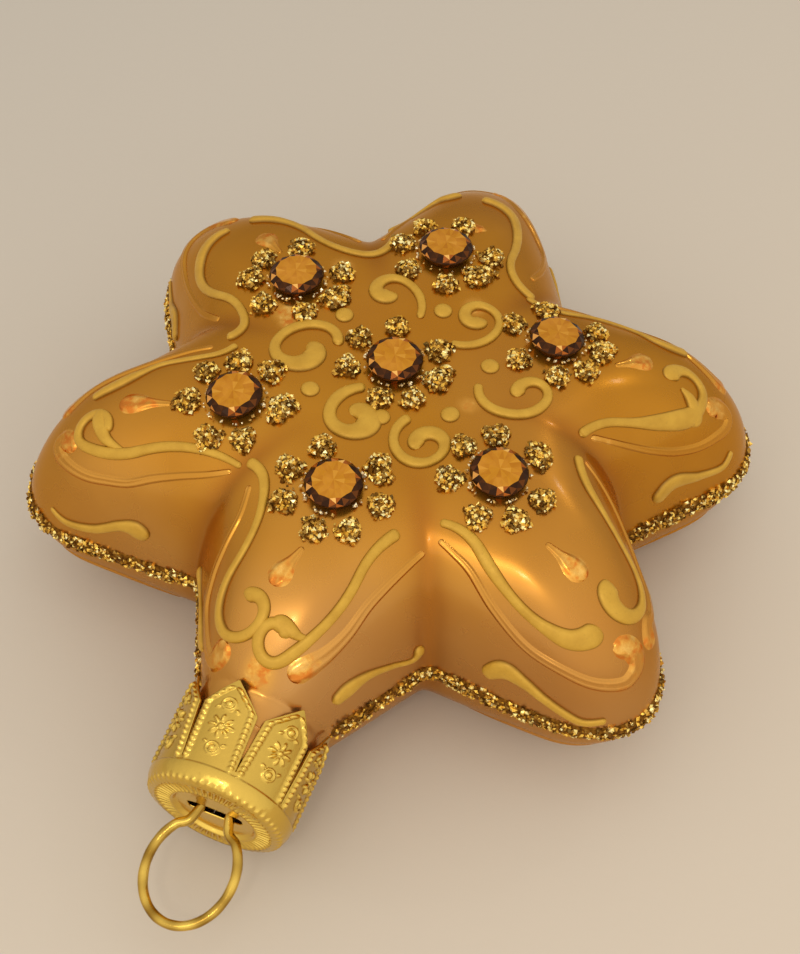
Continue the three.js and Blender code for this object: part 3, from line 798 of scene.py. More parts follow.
def smooth_through(values, count):
    """A smooth run of count values through a few given ones."""
    values = np.asarray(values, float)
    places = np.linspace(0, len(values) - 1, count)
    index = np.clip(places.astype(int), 0, len(values) - 2)
    share = (places - index)[(...,) + (None,) * (values.ndim - 1)]
    before = values[np.maximum(index - 1, 0)]
    first = values[index]
    second = values[index + 1]
    after = values[np.minimum(index + 2, len(values) - 1)]
    slope_in = (second - before) / 2
    slope_out = (after - first) / 2
    return (first * (1 + 2 * share) * (1 - share) ** 2 + slope_in * share * (1 - share) ** 2
            + second * share ** 2 * (3 - 2 * share) + slope_out * share ** 2 * (share - 1))


def blob_profile(count):
    """The section of thick enamel: steep rounded sides and a nearly flat top."""
    across = np.sin(np.linspace(-math.pi / 2, math.pi / 2, count))
    return across, (1 - np.abs(across) ** 4) ** 0.55 * (0.9 + 0.1 * (1 - across ** 2))


def ridge_profile(count):
    """The section of a ridge blown into the glass: soft feet and a flat, slightly hollow top."""
    across = np.linspace(-1, 1, count)
    inside = np.clip((1 - np.abs(across)) / 0.55, 0, 1)
    return across, inside ** 2 * (3 - 2 * inside) - 0.12 * np.clip(1 - (across / 0.4) ** 2, 0, 1)


def ribbon(spots, normals, widths, heights, profile, sink):
    """A raised stroke over the glass, with round ends."""
    across = unit(np.cross(normals, unit(np.gradient(spots, axis=0))))
    begun = travel(spots)
    full = widths / 2
    half = full
    for end, reach in ((begun, full[0]), (begun[-1] - begun, full[-1])):
        inside = np.clip(end / max(reach, 1e-6), 0, 1)
        half = half * np.sqrt(1 - (1 - inside) ** 2)
    rounding = np.clip(half / np.maximum(full, 1e-6), 0, 1)
    shares, rises = profile
    places = spots[:, None] + across[:, None] * (half[:, None] * shares)[..., None]
    found, outward = glass_surface().near(places.reshape(-1, 3))
    lift = (heights * rounding)[:, None] * rises - sink
    return found + outward * lift.reshape(-1, 1), grid_faces(len(spots), len(shares))[:, ::-1]


def arm_places(arm, places):
    """Turns places along an arm, to its side and over the seam into points."""
    along, side, rise = np.asarray(places, float).T
    return np.stack([*turned(side, -along, math.radians(arm * ARM_STEP)), rise], -1)


def mirrored(places, side):
    """Places along an arm, for its left-hand or right-hand wall."""
    return [(along, side * across, rise) for along, across, rise in places]


def laid_path(places, spacing=0.16):
    """A smooth path through a few places, lying on the glass, with its normals."""
    whole = travel(smooth_through(places, 200))[-1]
    return glass_surface().near(smooth_through(places, max(8, int(whole / spacing))))


def enamel_stroke(spots, normals, widths, height):
    """A stroke of enamel as points, faces and how near each point is to the stroke's edge."""
    wide = smooth_through(widths, len(spots)) * settings().stroke_width
    tall = height * np.clip(wide / ENAMEL_WIDTH, 0.6, 1.15)
    profile = blob_profile(ENAMEL_COLUMNS)
    # How near each point is to the edge, for the painted shade there.
    edge = np.tile(np.abs(profile[0]) ** 8, len(spots))
    return *ribbon(spots, normals, wide, tall, profile, ENAMEL_SINK), edge


def front_stroke(start, heading, runs, widths, height):
    """One scroll of enamel on the front, from its pen path."""
    return enamel_stroke(*glass_surface().below(pen_path(start, heading, runs)), widths, height)


def wall_stroke(arm, places, widths, height):
    """One stroke of enamel low on an arm's wall."""
    return enamel_stroke(*laid_path(arm_places(arm, places)), widths, height)


def enamel_dot(x, y, height):
    """A round dot of enamel, as a stroke is given."""
    rings, sides = 9, 28
    angles = round_turn(sides)
    reach = np.sin(np.linspace(0, math.pi / 2, rings)[1:])
    rim = np.stack([np.cos(angles), np.sin(angles)], -1)
    places = (x, y) + (reach * DOT_RADIUS)[:, None, None] * rim
    spots, normals = glass_surface().below([(x, y), *places.reshape(-1, 2)])
    rise = np.concatenate([[1], np.repeat((1 - reach ** 2.8) ** 0.5, sides)]) * height - ENAMEL_SINK
    faces = np.concatenate([grid_faces(rings - 1, sides, wrap=True)[:, ::-1] + 1,
                            fan_faces(0, np.arange(sides) + 1)])
    # How near each point is to the rim, for the painted shade there.
    edge = np.concatenate([[0], np.repeat(reach ** 12, sides)])
    return spots + normals * rise[:, None], faces, edge


# ---- Relief blown into the glass ----
# Each arm's two scrolls run from the valleys to a curled head near the tip: places along the arm,
# to its side and over the seam. Only the ones that differ from the common scroll have their own.

COMMON_SCROLL = [(20, 10, 16.4), (22.5, 9.7, 15.4), (25.5, 9.3, 14.2), (28.5, 8.8, 12.7), (31.5, 8, 11.2),
                 (34.5, 6.8, 10.2), (37, 5.2, 9.6), (38.8, 3.4, 9.2), (39.5, 2, 9.8), (38.8, 1.4, 10.8),
                 (37.8, 1.9, 11.4)]
OWN_SCROLLS = {
    (0, 1): [(20, 11.3, 15.6), (22, 10.3, 15.1), (25, 9.1, 14.4), (27.7, 8, 13.5), (30.7, 7.1, 12.2),
             (33.4, 5.9, 11.4), (35.5, 4.5, 11), (37, 3.1, 10.3)],
    (0, -1): [(20.2, -8.9, 16.9), (23.5, -8.6, 15.8), (26.4, -9.1, 13.6), (28.8, -9.5, 10.8),
              (31.2, -9.2, 8.3), (34.4, -7.7, 7.8), (36.8, -5.8, 8), (36.6, -4.8, 9.6), (35.6, -4.6, 11)],
    (1, -1): [(20, -9.9, 16.5), (22, -9.5, 16), (24.5, -9.1, 15.1), (28.5, -8.9, 12.5), (33, -8, 9.9),
              (37.4, -6.1, 8.7), (40, -4, 7.7), (41.5, -1.4, 7.2), (41.3, 0.4, 7.8), (40.5, 1.1, 8.8),
              (39.5, 0.5, 10.2), (38.9, -1.2, 10.6)],
    (1, 1): [(21, 9.5, 16), (25, 9.6, 14), (30.4, 8.7, 11.2), (34.2, 7.5, 9.5), (37.3, 5.6, 9.4),
             (38.5, 4.5, 10), (39.4, 3.9, 9), (40.1, 3.9, 7.8)],
    (2, -1): [(20.3, -10.2, 16.3), (25, -10, 13.8), (28, -9.7, 12.2), (31, -8.9, 10.6), (34, -8, 9.7),
              (36.6, -6.7, 9.5), (38.4, -5.3, 9.4), (38.9, -4.1, 9.9), (38, -3.7, 11), (36.6, -4.2, 12),
              (36, -5.2, 12)],
    (2, 1): [(20, 9.5, 16.5), (24, 9.2, 15.2), (28, 8, 14), (31.5, 6.2, 13.6), (34.6, 3.6, 13),
             (37.2, 1.2, 12.1), (38.4, 0.2, 11.2), (39.4, 0, 9.9)],
    (3, -1): [(21.3, -8.7, 16.6), (25.2, -8.8, 14.4), (29.6, -7.6, 12.1), (32.2, -5.8, 12.2),
              (34.9, -3, 12.7), (37.4, -0.6, 11.6), (38.4, 1, 10.6)],
    (4, 1): [(20, 10.5, 16), (24.6, 10.3, 13.5), (31.5, 8, 10.6), (36.4, 5.2, 10), (38.2, 2.1, 10.1),
             (37.1, -0.5, 11.7), (34.4, -1.6, 13.9)],
    (5, 1): [(19.5, 10.5, 16.3), (22.2, 9.9, 15.4), (25.4, 8.9, 14.3), (28.2, 8.1, 13.2),
             (31, 7.3, 11.8), (33.4, 6.1, 11.1), (35.5, 5, 10.7), (37.4, 3.3, 10.5), (38.6, 1.2, 10.3),
             (38.7, 0, 10.7), (38, 0, 11.4), (37.3, 1, 11.9), (37.1, 2.1, 11.6)],
    (5, -1): [(20.2, -6.5, 17.8), (22.6, -6.8, 17.2), (25.4, -6.7, 16.4), (28.3, -6.5, 15.5),
              (31.5, -6.2, 14), (34, -6, 12.7), (36, -5.4, 11.8), (37.4, -4.8, 10.9), (38.1, -4.2, 10.2)],
}
# The drop on each arm's middle line: where its head and the end of its tail are.
DROPS = {
    0: ((30.3, -1.7), (25.6, -0.2)), 1: ((32.6, -0.1), (27.4, -1.4)), 2: ((29.6, 0), (24.8, -1.3)),
    3: ((26.3, -0.1), (24.6, -0.1)), 4: ((27.8, -0.9), (23, -0.4)), 5: ((31.2, -0.8), (25.4, 1.1)),
}
# The widths of a front scroll, a back scroll and a drop, from start to end.
SCROLL_WIDTHS = (0.8, 1, 1.2, 1.4, 1.7, 2.2, 2.8, 2.7)
BACK_SCROLL_WIDTHS = (0.9, 1.1, 1.2, 1.3, 1.8)
DROP_WIDTHS = (0.7, 1.2, 2.7, 2.5)
# The width of a ridge that stands at the full height, how far ridges are sunk into the glass, and
# their points across.
RELIEF_WIDTH = 1.2
RELIEF_SINK = 0.012
RELIEF_COLUMNS = 15
# Places on the front where the lacquer is rubbed thin: x, y and radius.
RUBBED_SPOTS = [(-15, 3, 1.5), (-14.2, 1.6, 1), (-12, 12.6, 1.2), (4.6, 12.4, 1.3), (9.2, -1.8, 1),
                (0, -37.6, 1.7)]


def relief_ridge(spots, normals, widths, rubbed):
    """One ridge as points, faces and how far the lacquer is rubbed at each point."""
    profile = ridge_profile(RELIEF_COLUMNS)
    wide = smooth_through(widths, len(spots))
    tall = in_mm("relief_height") * np.clip(wide / RELIEF_WIDTH, 0.6, 1.25)
    skin = ribbon(spots, normals, wide, tall, profile, RELIEF_SINK)
    return *skin, np.repeat(rubbed, len(profile[0]))


def front_relief():
    """The scrolls and drops of the front."""
    parts = []
    for arm in range(ARM_COUNT):
        for side in (-1, 1):
            places = OWN_SCROLLS.get((arm, side), mirrored(COMMON_SCROLL, side))
            spots, normals = laid_path(arm_places(arm, places))
            share = np.linspace(0, 1, len(spots))
            rubbed = (0.22 + 0.28 * rising(share, 0.4, 0.3) + 0.5 * rising(share, 0.76, 0.12)
                      + 0.4 * rising(share, 0.08, -0.06))
            parts.append(relief_ridge(spots, normals, SCROLL_WIDTHS, np.minimum(rubbed, 1)))
        head, tail = DROPS[arm]
        line = [tail, ((head[0] + tail[0]) / 2, (head[1] + tail[1]) / 2), head]
        places = arm_places(arm, [(*place, 0) for place in line])[:, :2]
        spots, normals = glass_surface().below(smooth_through(places, 44))
        rubbed = np.clip(np.linspace(0.3, 1.3, len(spots)), 0, 1)
        parts.append(relief_ridge(spots, normals, DROP_WIDTHS, rubbed))
    return parts


def back_relief():
    """The same scrolls on the back, lower and less worn, where the back is clear of the table."""
    parts = []
    depth = BACK["height"] / FRONT["height"]
    for arm in range(1, ARM_COUNT):
        for side in (-1, 1):
            places = [(along + 0.6, across, -rise * depth * 0.8)
                      for along, across, rise in mirrored(COMMON_SCROLL[2:], side)]
            spots, normals = laid_path(arm_places(arm, places))
            rubbed = 0.2 + 0.3 * np.linspace(0, 1, len(spots))
            parts.append(relief_ridge(spots, normals, BACK_SCROLL_WIDTHS, rubbed))
    return parts


# ---- Grains of glitter ----
# The least and greatest width of a grain as shares of a middling one, its length and its thickness
# as shares of its width, and how far it tilts at random.

GRAIN_SPREAD = (0.7, 1.35)
GRAIN_STRETCH = (0.75, 1.25)
GRAIN_THICKNESS = 0.62
GRAIN_TILT = 0.55
# The bright grains round a crystal's foot: how many, and their least and greatest width.
FOOT_GRAINS = 42
FOOT_GRAIN_SPREAD = (0.25, 0.56)
# How wide and how high a lump of glue is for its heap, and how far it is sunk into the glass.
GLUE_SHARE = 0.9
GLUE_SINK = 0.05


def grains(places, normals, sizes, rng):
    """A flat eight-sided flake of foil at each place, tilted at random from its normal."""
    count = len(places)
    facing = unit(normals + rng.normal(scale=GRAIN_TILT, size=(count, 3)))
    side = unit(np.cross(facing, rng.normal(size=(count, 3))))
    other = np.cross(facing, side)
    stretch = rng.uniform(*GRAIN_STRETCH, (count, 1))
    width = sizes[:, None] / 2
    corners = [side * width * stretch, other * width, -side * width * stretch, -other * width,
               facing * width * GRAIN_THICKNESS, -facing * width * GRAIN_THICKNESS]
    points = np.stack([places + corner for corner in corners], 1).reshape(-1, 3)
    flake = np.array([[0, 1, 4], [1, 2, 4], [2, 3, 4], [3, 0, 4],
                      [1, 0, 5], [2, 1, 5], [3, 2, 5], [0, 3, 5]])
    faces = (np.arange(count)[:, None, None] * 6 + flake).reshape(-1, 3)
    return points, faces


class Patch:
    """A flat patch on the front of the glass, for what is set down round one place."""

    def __init__(self, x, y):
        centre, normal = glass_surface().below([(x, y)])
        self.centre, self.normal = centre[0], normal[0]
        self.side = unit(np.cross(self.normal, [0.3, 1, 0.1]))
        self.other = np.cross(self.normal, self.side)

    def at(self, across, along, height=0.0):
        """Places across, along and over the patch."""
        return (self.centre + np.multiply.outer(across, self.side) + np.multiply.outer(along, self.other)
                + np.multiply.outer(height, self.normal))


def dab_heap(x, y, radius, stretch, direction, rng):
    """A heap of grains on a lump of glue, and the lump itself."""
    patch = Patch(x, y)
    count = int(settings().grains_per_dab * stretch)
    turn = rng.uniform(0, 2 * math.pi, count)
    reach = np.sqrt(rng.uniform(0, 1, count))
    wobble = 1 + 0.12 * np.sin(3 * turn + rng.uniform(0, 6)) + 0.08 * np.sin(5 * turn + rng.uniform(0, 6))
    across = reach * wobble * radius
    spread = patch.at(*turned(across * np.cos(turn) * stretch, across * np.sin(turn), direction))
    found, outward = glass_surface().near(spread)
    rise = in_mm("dab_height") * dome(reach) + rng.uniform(-0.05, 0.12, count)
    lean = unit(outward + 0.6 * (spread - patch.centre) / radius)
    sizes = rng.uniform(*GRAIN_SPREAD, count) * in_mm("grain_size")
    heap = grains(found + outward * rise[:, None], lean, sizes, rng)
    return heap, glue_lump(patch, radius * GLUE_SHARE, stretch, direction)


def foot_grains(x, y, rng):
    """Fine bright grains caught in the glue round a crystal's foot."""
    patch = Patch(x, y)
    count = FOOT_GRAINS
    turn = rng.uniform(0, 2 * math.pi, count)
    reach = in_mm("crystal_radius") + rng.uniform(0.08, 0.35, count)
    found, outward = glass_surface().near(patch.at(reach * np.cos(turn), reach * np.sin(turn)))
    places = found + outward * rng.uniform(0.2, 0.6, count)[:, None]
    return grains(places, outward, rng.uniform(*FOOT_GRAIN_SPREAD, count), rng)


def glue_lump(patch, radius, stretch, direction):
    """The low lump of glue that a heap of grains sticks to."""
    rings, sides = 6, 20
    turn = round_turn(sides)
    reach = np.linspace(0, 1, rings)[1:]
    across = np.outer(reach, np.cos(turn) * stretch * radius).ravel()
    along = np.outer(reach, np.sin(turn) * radius).ravel()
    places = patch.at(*turned(across, along, direction))
    found, outward = glass_surface().near(np.concatenate([[patch.centre], places]))
    rise = np.concatenate([[1], np.repeat(dome(reach), sides)])
    rise = rise * in_mm("dab_height") * GLUE_SHARE - GLUE_SINK
    faces = np.concatenate([grid_faces(rings - 1, sides, wrap=True) + 1,
                            fan_faces(0, np.arange(sides)[::-1] + 1)])
    return found + outward * rise[:, None], faces[:, ::-1]


# ---- Cap ----

def leaf_gap(distance):
    """Half the angle of the gap between two leaves."""
    slit = CAP["slit_half"] * (CAP["slit"] - distance) / (CAP["slit"] - CAP["corner"])
    half = 180 / CAP["leaves"]
    gable = CAP["slit_half"] + (half - CAP["slit_half"]) * (
        (CAP["corner"] - distance) / (CAP["corner"] - CAP["side_tip"]))
    return np.clip(np.where(distance > CAP["corner"], slit, gable), 0, half)


def bead(u, v, x, y, radius):
    """A round bead's height at (u, v)."""
    return np.sqrt(np.clip(1 - ((u - x) ** 2 + (v - y) ** 2) / radius ** 2, 0, 1))


def petal(u, v, x, y, angle, start, end, half_width):
    """A long rounded petal's height at (u, v), pointing away from (x, y)."""
    along = (u - x) * math.sin(angle) + (v - y) * math.cos(angle)
    aside = (u - x) * math.cos(angle) - (v - y) * math.sin(angle)
    middle, half = (start + end) / 2, (end - start) / 2
    return np.sqrt(np.clip(1 - ((along - middle) / half) ** 2 - (aside / half_width) ** 2, 0, 1))


def leaf_stamp(u, v, half_width):
    """The stamped relief of one leaf: u is across it, v is the distance from the star's centre."""
    inset, pitch, radius = 0.6, 0.66, 0.34
    edge = (half_width - np.abs(u) - inset) / radius
    along = ((v / pitch) % 1 - 0.5) * pitch / radius
    rope = np.sqrt(np.clip(1 - edge ** 2 - along ** 2, 0, 1))
    border = np.maximum(rope, 0.5 * np.clip(1 - edge ** 2, 0, 1))
    shapes = [np.where(v > CAP["side_tip"] + 0.9, border, 0), bead(u, v, 0, LEAF_FLOWER, radius)]
    for ray in range(8):
        shapes.append(petal(u, v, 0, LEAF_FLOWER, math.radians(45 * ray), 0.34, 1.42, 0.21))
    for centre, side in LEAF_BOSSES:
        shapes.append(bead(u, v, 0, centre, 0.42))
        ring = (np.hypot(u, v - centre) - 0.66) / 0.17
        shapes.append(0.8 * np.clip(1 - ring ** 2, 0, 1))
        for angle in (-60, 60):
            turn = math.radians(angle + 90 - 90 * side)
            shapes.append(0.8 * petal(u, v, 0, centre, turn, 0.86, 1.5, 0.17))
    return np.max(shapes, axis=0)


def cap_sector(leaf):
    """One eighth of the cap's skin, from the slot in its end to the tip of a leaf."""
    half = 180 / CAP["leaves"]
    share = np.linspace(-1, 1, LEAF_COLUMNS)
    centre = CAP["turn"] + leaf * 2 * half
    angle = np.radians(centre + share * half)
    ribs = (0.5 + 0.5 * np.cos(angle * CAP_RIBS)) ** 1.5
    # The raised values set the gold's painted shade, the lower the darker; the dish's are set high.
    rows, raised = [], []

    def add(radius, distance, width, relief):
        """Adds a row of points over the leaf's width, with how far each is raised."""
        turn = np.radians(centre + share * width)
        radius, distance, relief = np.broadcast_arrays(radius, distance, relief, share)[:3]
        rows.append(np.stack([radius * np.sin(turn), -distance, radius * np.cos(turn)], -1))
        raised.append(relief)

    depth, dish, end = CAP["dish_depth"], CAP["dish_radius"], CAP["end"]
    slot_x, slot_z = CAP_SLOT
    slot_edge = 1 / (np.abs(np.sin(angle) / slot_x) ** 4 + np.abs(np.cos(angle) / slot_z) ** 4) ** 0.25
    for step in np.linspace(0, 1, CAP_ROWS["floor"]):
        add(slot_edge + (dish - slot_edge) * step, end - depth, half, 0.9)
    for step in np.linspace(0, 1, CAP_ROWS["wall"])[1:]:
        rise = (1 - math.cos(step * math.pi)) / 2
        add(dish + depth * step, end - depth + depth * rise, half, 0.9)
    lip = dish + depth
    for step in np.linspace(0, 1, CAP_ROWS["ribs"])[1:]:
        fade = math.sin(math.pi * min(1, step * 1.05)) ** 0.6
        add(lip + (CAP["end_radius"] - lip) * step, end - 0.42 * (1 - ribs) * fade, half,
            0.45 + 0.55 * ribs)
    for step in np.linspace(0, 1, CAP_ROWS["shoulder"])[1:]:
        turn = step * math.pi / 2
        radius = CAP["end_radius"] + (CAP["radius"] - CAP["end_radius"]) * math.sin(turn)
        beads = ribs * math.exp(-((step - 0.34) / 0.13) ** 2)
        add(radius - 0.12 + 0.22 * beads, CAP["shoulder"] + (end - CAP["shoulder"]) * math.cos(turn),
            half, 0.55 + 0.45 * beads)
    for distance in np.linspace(CAP["shoulder"], CAP["side_tip"], CAP_ROWS["leaf"])[1:]:
        width = half - leaf_gap(distance)
        half_width = math.radians(width) * CAP["radius"]
        fade = rising(distance, CAP["shoulder"], -0.5)
        relief = leaf_stamp(share * half_width, np.full(LEAF_COLUMNS, distance), half_width) * fade
        add(CAP["radius"] - 0.3 + 0.38 * relief, distance, width, 0.35 + 0.65 * relief)
    return np.concatenate(rows), grid_faces(len(rows), LEAF_COLUMNS), np.concatenate(raised)


def flare(points):
    """Opens the leaves where the tall arm pushes them apart."""
    x, y, z = points.T
    share = np.maximum(0, leaf_share(-y))
    radius = np.hypot(x, z)
    up = np.maximum(0, z / np.maximum(radius, 1e-6)) ** 2
    wall = radius > CAP["radius"] / 2
    scale = np.where(wall, (radius + CAP["flare"] * share * up) / radius, 1)
    shorter = np.where(wall, (CAP["top_tip"] - CAP["side_tip"]) * share * up, 0)
    return np.stack([x * scale, y - shorter, z * scale], -1)


# ---- Operators ----

class ORNAMENT_OT_glass(bpy.types.Operator):
    """Blow the star: its smooth skin, the tucked cap arm and the neck"""
    bl_idname = "ornament.glass"
    bl_label = "Glass star"

    def execute(self, context):
        points, faces = star_skin()
        points = tuck_into_cap(points)
        clear = rising(points[:, 2] + BACK["height"], DENT_FREE, DENT_FADE)
        points = points + point_normals(points, faces) * (hand_dents(points) * clear)[:, None]
        neck = neck_skin()
        pooled = np.concatenate([self.pooled(points), np.zeros(len(neck[0]))])
        points, faces = join([(points, faces), neck])
        rubbed = np.zeros(len(points))
        for x, y, radius in RUBBED_SPOTS:
            distance = np.hypot(points[:, 0] - x, points[:, 1] - y)
            rubbed = np.maximum(rubbed, np.exp(-(distance / radius) ** 4) * (points[:, 2] > 0))
        new_piece("star", "lacquered_glass", ["star_glass"], points, faces, lacquer_material(),
                  pooled=pooled, rubbed=rubbed)
        return {"FINISHED"}

    def pooled(self, points):
        """How much darker the lacquer is at each point along the valleys between arms: painted shade in the
        creases, where the lacquer also runs thick.
        """
        bearing = np.degrees(np.arctan2(points[:, 0], -points[:, 1]))
        off = np.abs((bearing % ARM_STEP) - ARM_STEP / 2)
        reach = np.hypot(points[:, 0], points[:, 1])
        side = reach * np.radians(off)
        begun = rising(reach, VALLEY_POOL_AND_SHADE["start"], VALLEY_POOL_AND_SHADE["run"])
        return np.exp(-(side / VALLEY_POOL_AND_SHADE["half_width"]) ** 2) * begun * VALLEY_POOL_AND_SHADE["most"]


class ORNAMENT_OT_relief(bpy.types.Operator):
    """Raise the scrolls and drops that are blown into the glass"""
    bl_idname = "ornament.relief"
    bl_label = "Moulded relief"

    def execute(self, context):
        material = bpy.data.materials["gold_lacquer"]
        for name, parts in (("moulded_scrolls", front_relief()), ("moulded_back", back_relief())):
            points, faces, rubbed = join(parts)
            new_piece(name, "lacquered_glass", [], points, faces, material, rubbed=rubbed)
        return {"FINISHED"}


class ORNAMENT_OT_enamel(bpy.types.Operator):
    """Lay the raised enamel scrolls, strokes and dots"""
    bl_idname = "ornament.enamel"
    bl_label = "Raised enamel"

    def execute(self, context):
        material = enamel_material()
        height = in_mm("enamel_height")
        walls = [*WALL_STROKES.values(), *[(arm, mirrored(places, side), widths)
                                           for places, widths, arms in FAR_STROKES for arm, side in arms]]
        groups = {
            "enamel_spirals": [front_stroke(*stroke, height) for stroke in SPIRALS.values()],
            "enamel_scrolls": [front_stroke(*stroke, height) for stroke in SCROLLS.values()],
            "enamel_wall_strokes": [wall_stroke(*stroke, height) for stroke in walls],
            "enamel_back_strokes": [wall_stroke(arm, *BACK_STROKE, height) for arm in range(1, ARM_COUNT)],
            "enamel_dots": [enamel_dot(x, y, height) for x, y in DOTS],
        }
        for name, parts in groups.items():
            points, faces, edge = join(parts)
            new_piece(name, "enamel", [], points, faces, material, edge=edge)
        return {"FINISHED"}


class ORNAMENT_OT_crystals(bpy.types.Operator):
    """Cut the seven foiled crystals"""
    bl_idname = "ornament.crystals"
    bl_label = "Crystals"

    def execute(self, context):
        material = crystal_material()
        for name, (reach, bearing, _, _) in FLOWERS.items():
            self.cut(name, Patch(*plan(bearing, reach)), material)
        return {"FINISHED"}

    def cut(self, name, patch, material):
        """Makes one crystal, every facet a face of its own: foot, belt, crown and a many-sided table."""
        girdle, table, top = in_mm("crystal_radius"), in_mm("table_radius"), in_mm("crystal_height")
        rings = {ring: (height, girdle * share) for ring, (height, share) in CRYSTAL_RINGS.items()}
        rings["crown"] = (CROWN_RISE, table + (girdle - table) * 0.62)
        rings["middle"] = (top + 0.012, table * 0.5)
        step = 360 / CRYSTAL_SIDES
        facets, windows = [], []

        def at(angle, radius, height):
            """A corner at an angle, a radius and a height over the glass."""
            turn = math.radians(angle)
            return patch.at(radius * math.sin(turn), radius * math.cos(turn), height)

        def on(ring, angle):
            """A corner on one of the crystal's rings."""
            height, radius = rings[ring]
            return at(angle, radius, height)

        def rim(angle):
            """The table's edge: a corner on each side, drawn in a little between them."""
            return at(angle, table * (1 if angle % step == 0 else 0.95), top)

        peak = at(0, 0, top + 0.016)
        for side in range(CRYSTAL_SIDES):
            start = step * side
            last, half, end = start - step / 2, start + step / 2, start + step
            crown, corner, middle = on("crown", half), on("shoulder", start), on("middle", half)
            facets += [(rim(start), rim(half), crown), (rim(half), rim(end), crown),
                       (rim(start), crown, corner), (on("crown", last), rim(start), corner),
                       (rim(start), rim(half), middle), (rim(half), rim(end), middle),
                       (rim(start), on("middle", last), middle), (on("middle", last), peak, middle)]
            windows += [0, 0, 0, 0, 1, 1, 1, 1]
            for first, second in ((start, half), (half, end)):
                high, belt, foot = [(on(ring, first), on(ring, second))
                                    for ring in ("shoulder", "belt", "foot")]
                facets += [(crown, *high), (*high, belt[1]), (high[0], belt[1], belt[0]),
                           (*belt, foot[1]), (belt[0], foot[1], foot[0])]
                windows += [0] * 5
        points = np.array(facets).reshape(-1, 3)
        faces = np.arange(len(points)).reshape(-1, 3)
        a, b, c = np.moveaxis(points[faces], 1, 0)
        outward = np.einsum("ij,ij->i", np.cross(b - a, c - a), (a + b + c) / 3 - patch.centre)
        faces = np.where((outward < 0)[:, None], faces[:, ::-1], faces)
        new_piece(f"faceted_crystal_{name}", "crystal", [f"crystal_{name}"], points, faces, material,
                  smooth=False, window=np.repeat(windows, 3))


class ORNAMENT_OT_dabs(bpy.types.Operator):
    """Heap the dabs of glitter round the crystals"""
    bl_idname = "ornament.dabs"
    bl_label = "Glitter flowers"

    def execute(self, context):
        rng = np.random.default_rng(5)
        heaps, lumps, nodes = [], [], []
        for name, (reach, bearing, directions, wide) in FLOWERS.items():
            x, y = plan(bearing, reach)
            heaps.append(self.marked(foot_grains(x, y, rng), 1))
            for number, direction in enumerate(directions):
                dx, dy = plan(direction + rng.normal(0, 1.5), in_mm("dab_distance"))
                stretch = 1.35 if number == wide else 1
                radius = in_mm("dab_radius") * rng.uniform(0.92, 1.06)
                heap, lump = dab_heap(x + dx, y + dy, radius, stretch, math.radians(direction), rng)
                heaps.append(self.marked(heap, 0))
                lumps.append(lump)
                nodes.append(f"dab_{name}_{number + 1}")
        points, faces, bright = join(heaps)
        new_piece("glitter_flowers", "glitter", nodes, points, faces, glitter_material(), smooth=False,
                  bright=bright)
        new_piece("glue_lumps", "glitter", nodes, *join(lumps), glue_material())
        return {"FINISHED"}

    def marked(self, heap, bright):
        """A heap with how bright its grains are."""
        return *heap, np.full(len(heap[0]), bright)


class ORNAMENT_OT_seam(bpy.types.Operator):
    """Run the rope of glitter round the seam"""
    bl_idname = "ornament.seam"
    bl_label = "Seam glitter"

    def execute(self, context):
        rng = np.random.default_rng(8)
        bearings = np.linspace(*ROPE_ENDS, ROPE_ROWS)
        seam = travel(plan(bearings, outline(bearings)))
        count = int(seam[-1] * settings().grains_per_mm)
        place = np.sort(rng.uniform(0, seam[-1], count))
        bearing = np.interp(place, seam, bearings)
        knots = np.linspace(0, seam[-1], ROPE_SWELLS)
        swell = 1 + ROPE_SWELL * np.interp(place, knots, rng.normal(size=ROPE_SWELLS))
        across = rng.uniform(-1, 1, count)
        swell = swell * self.taper(place, seam[-1])
        rise = across * in_mm("rope_half_height") * swell + in_mm("rope_lift")
        found, outward = self.wall(bearing, rise, np.clip(rise, -4, 6))
        crown = np.sqrt(np.clip(1 - across ** 2, 0, 1))
        proud = in_mm("rope_thickness") * crown * swell * rng.uniform(0.45, 1, count)
        lean = outward + np.column_stack([np.zeros((count, 2)), across * 0.6])
        grain = rng.uniform(*GRAIN_SPREAD, count) * in_mm("grain_size")
        rope = grains(found + outward * proud[:, None], lean, grain, rng)
        new_piece("seam_glitter_rope", "glitter", ["seam_glitter"], *rope,
                  bpy.data.materials["gold_glitter"], smooth=False)
        self.lay_glue(bearings, seam)
        return {"FINISHED"}

    def wall(self, bearing, rise, level):
        """The glass's wall and its normals at a rise over the seam."""
        reach = reach_at(bearing, wall_share(level))
        places = np.concatenate([plan(bearing, reach), rise[..., None]], -1)
        return glass_surface().near(places.reshape(-1, 3))

    def taper(self, place, whole):
        """The rope's share of its full size: it narrows to a round end on each side of the cap."""
        inside = np.clip(np.minimum(place, whole - place) / ROPE_TAPER, 0, 1)
        return 0.15 + 0.85 * np.sqrt(1 - (1 - inside) ** 2)

    def lay_glue(self, bearings, seam):
        """The bead of glue under the rope's grains."""
        across = np.linspace(-1, 1, 9)
        narrow = self.taper(seam, seam[-1])[:, None]
        rise = narrow * across * in_mm("rope_half_height") * 0.95 + in_mm("rope_lift")
        found, outward = self.wall(np.repeat(bearings[:, None], len(across), 1), rise, rise)
        crown = np.sqrt(np.clip(1 - across ** 2, 0, 1))
        lift = in_mm("rope_thickness") * 0.62 * narrow * crown - GLUE_SINK
        points = found + outward * lift.reshape(-1, 1)
        faces = grid_faces(len(bearings), len(across))[:, ::-1]
        new_piece("seam_glue", "glitter", ["seam_glitter"], points, faces,
                  bpy.data.materials["glitter_glue"])


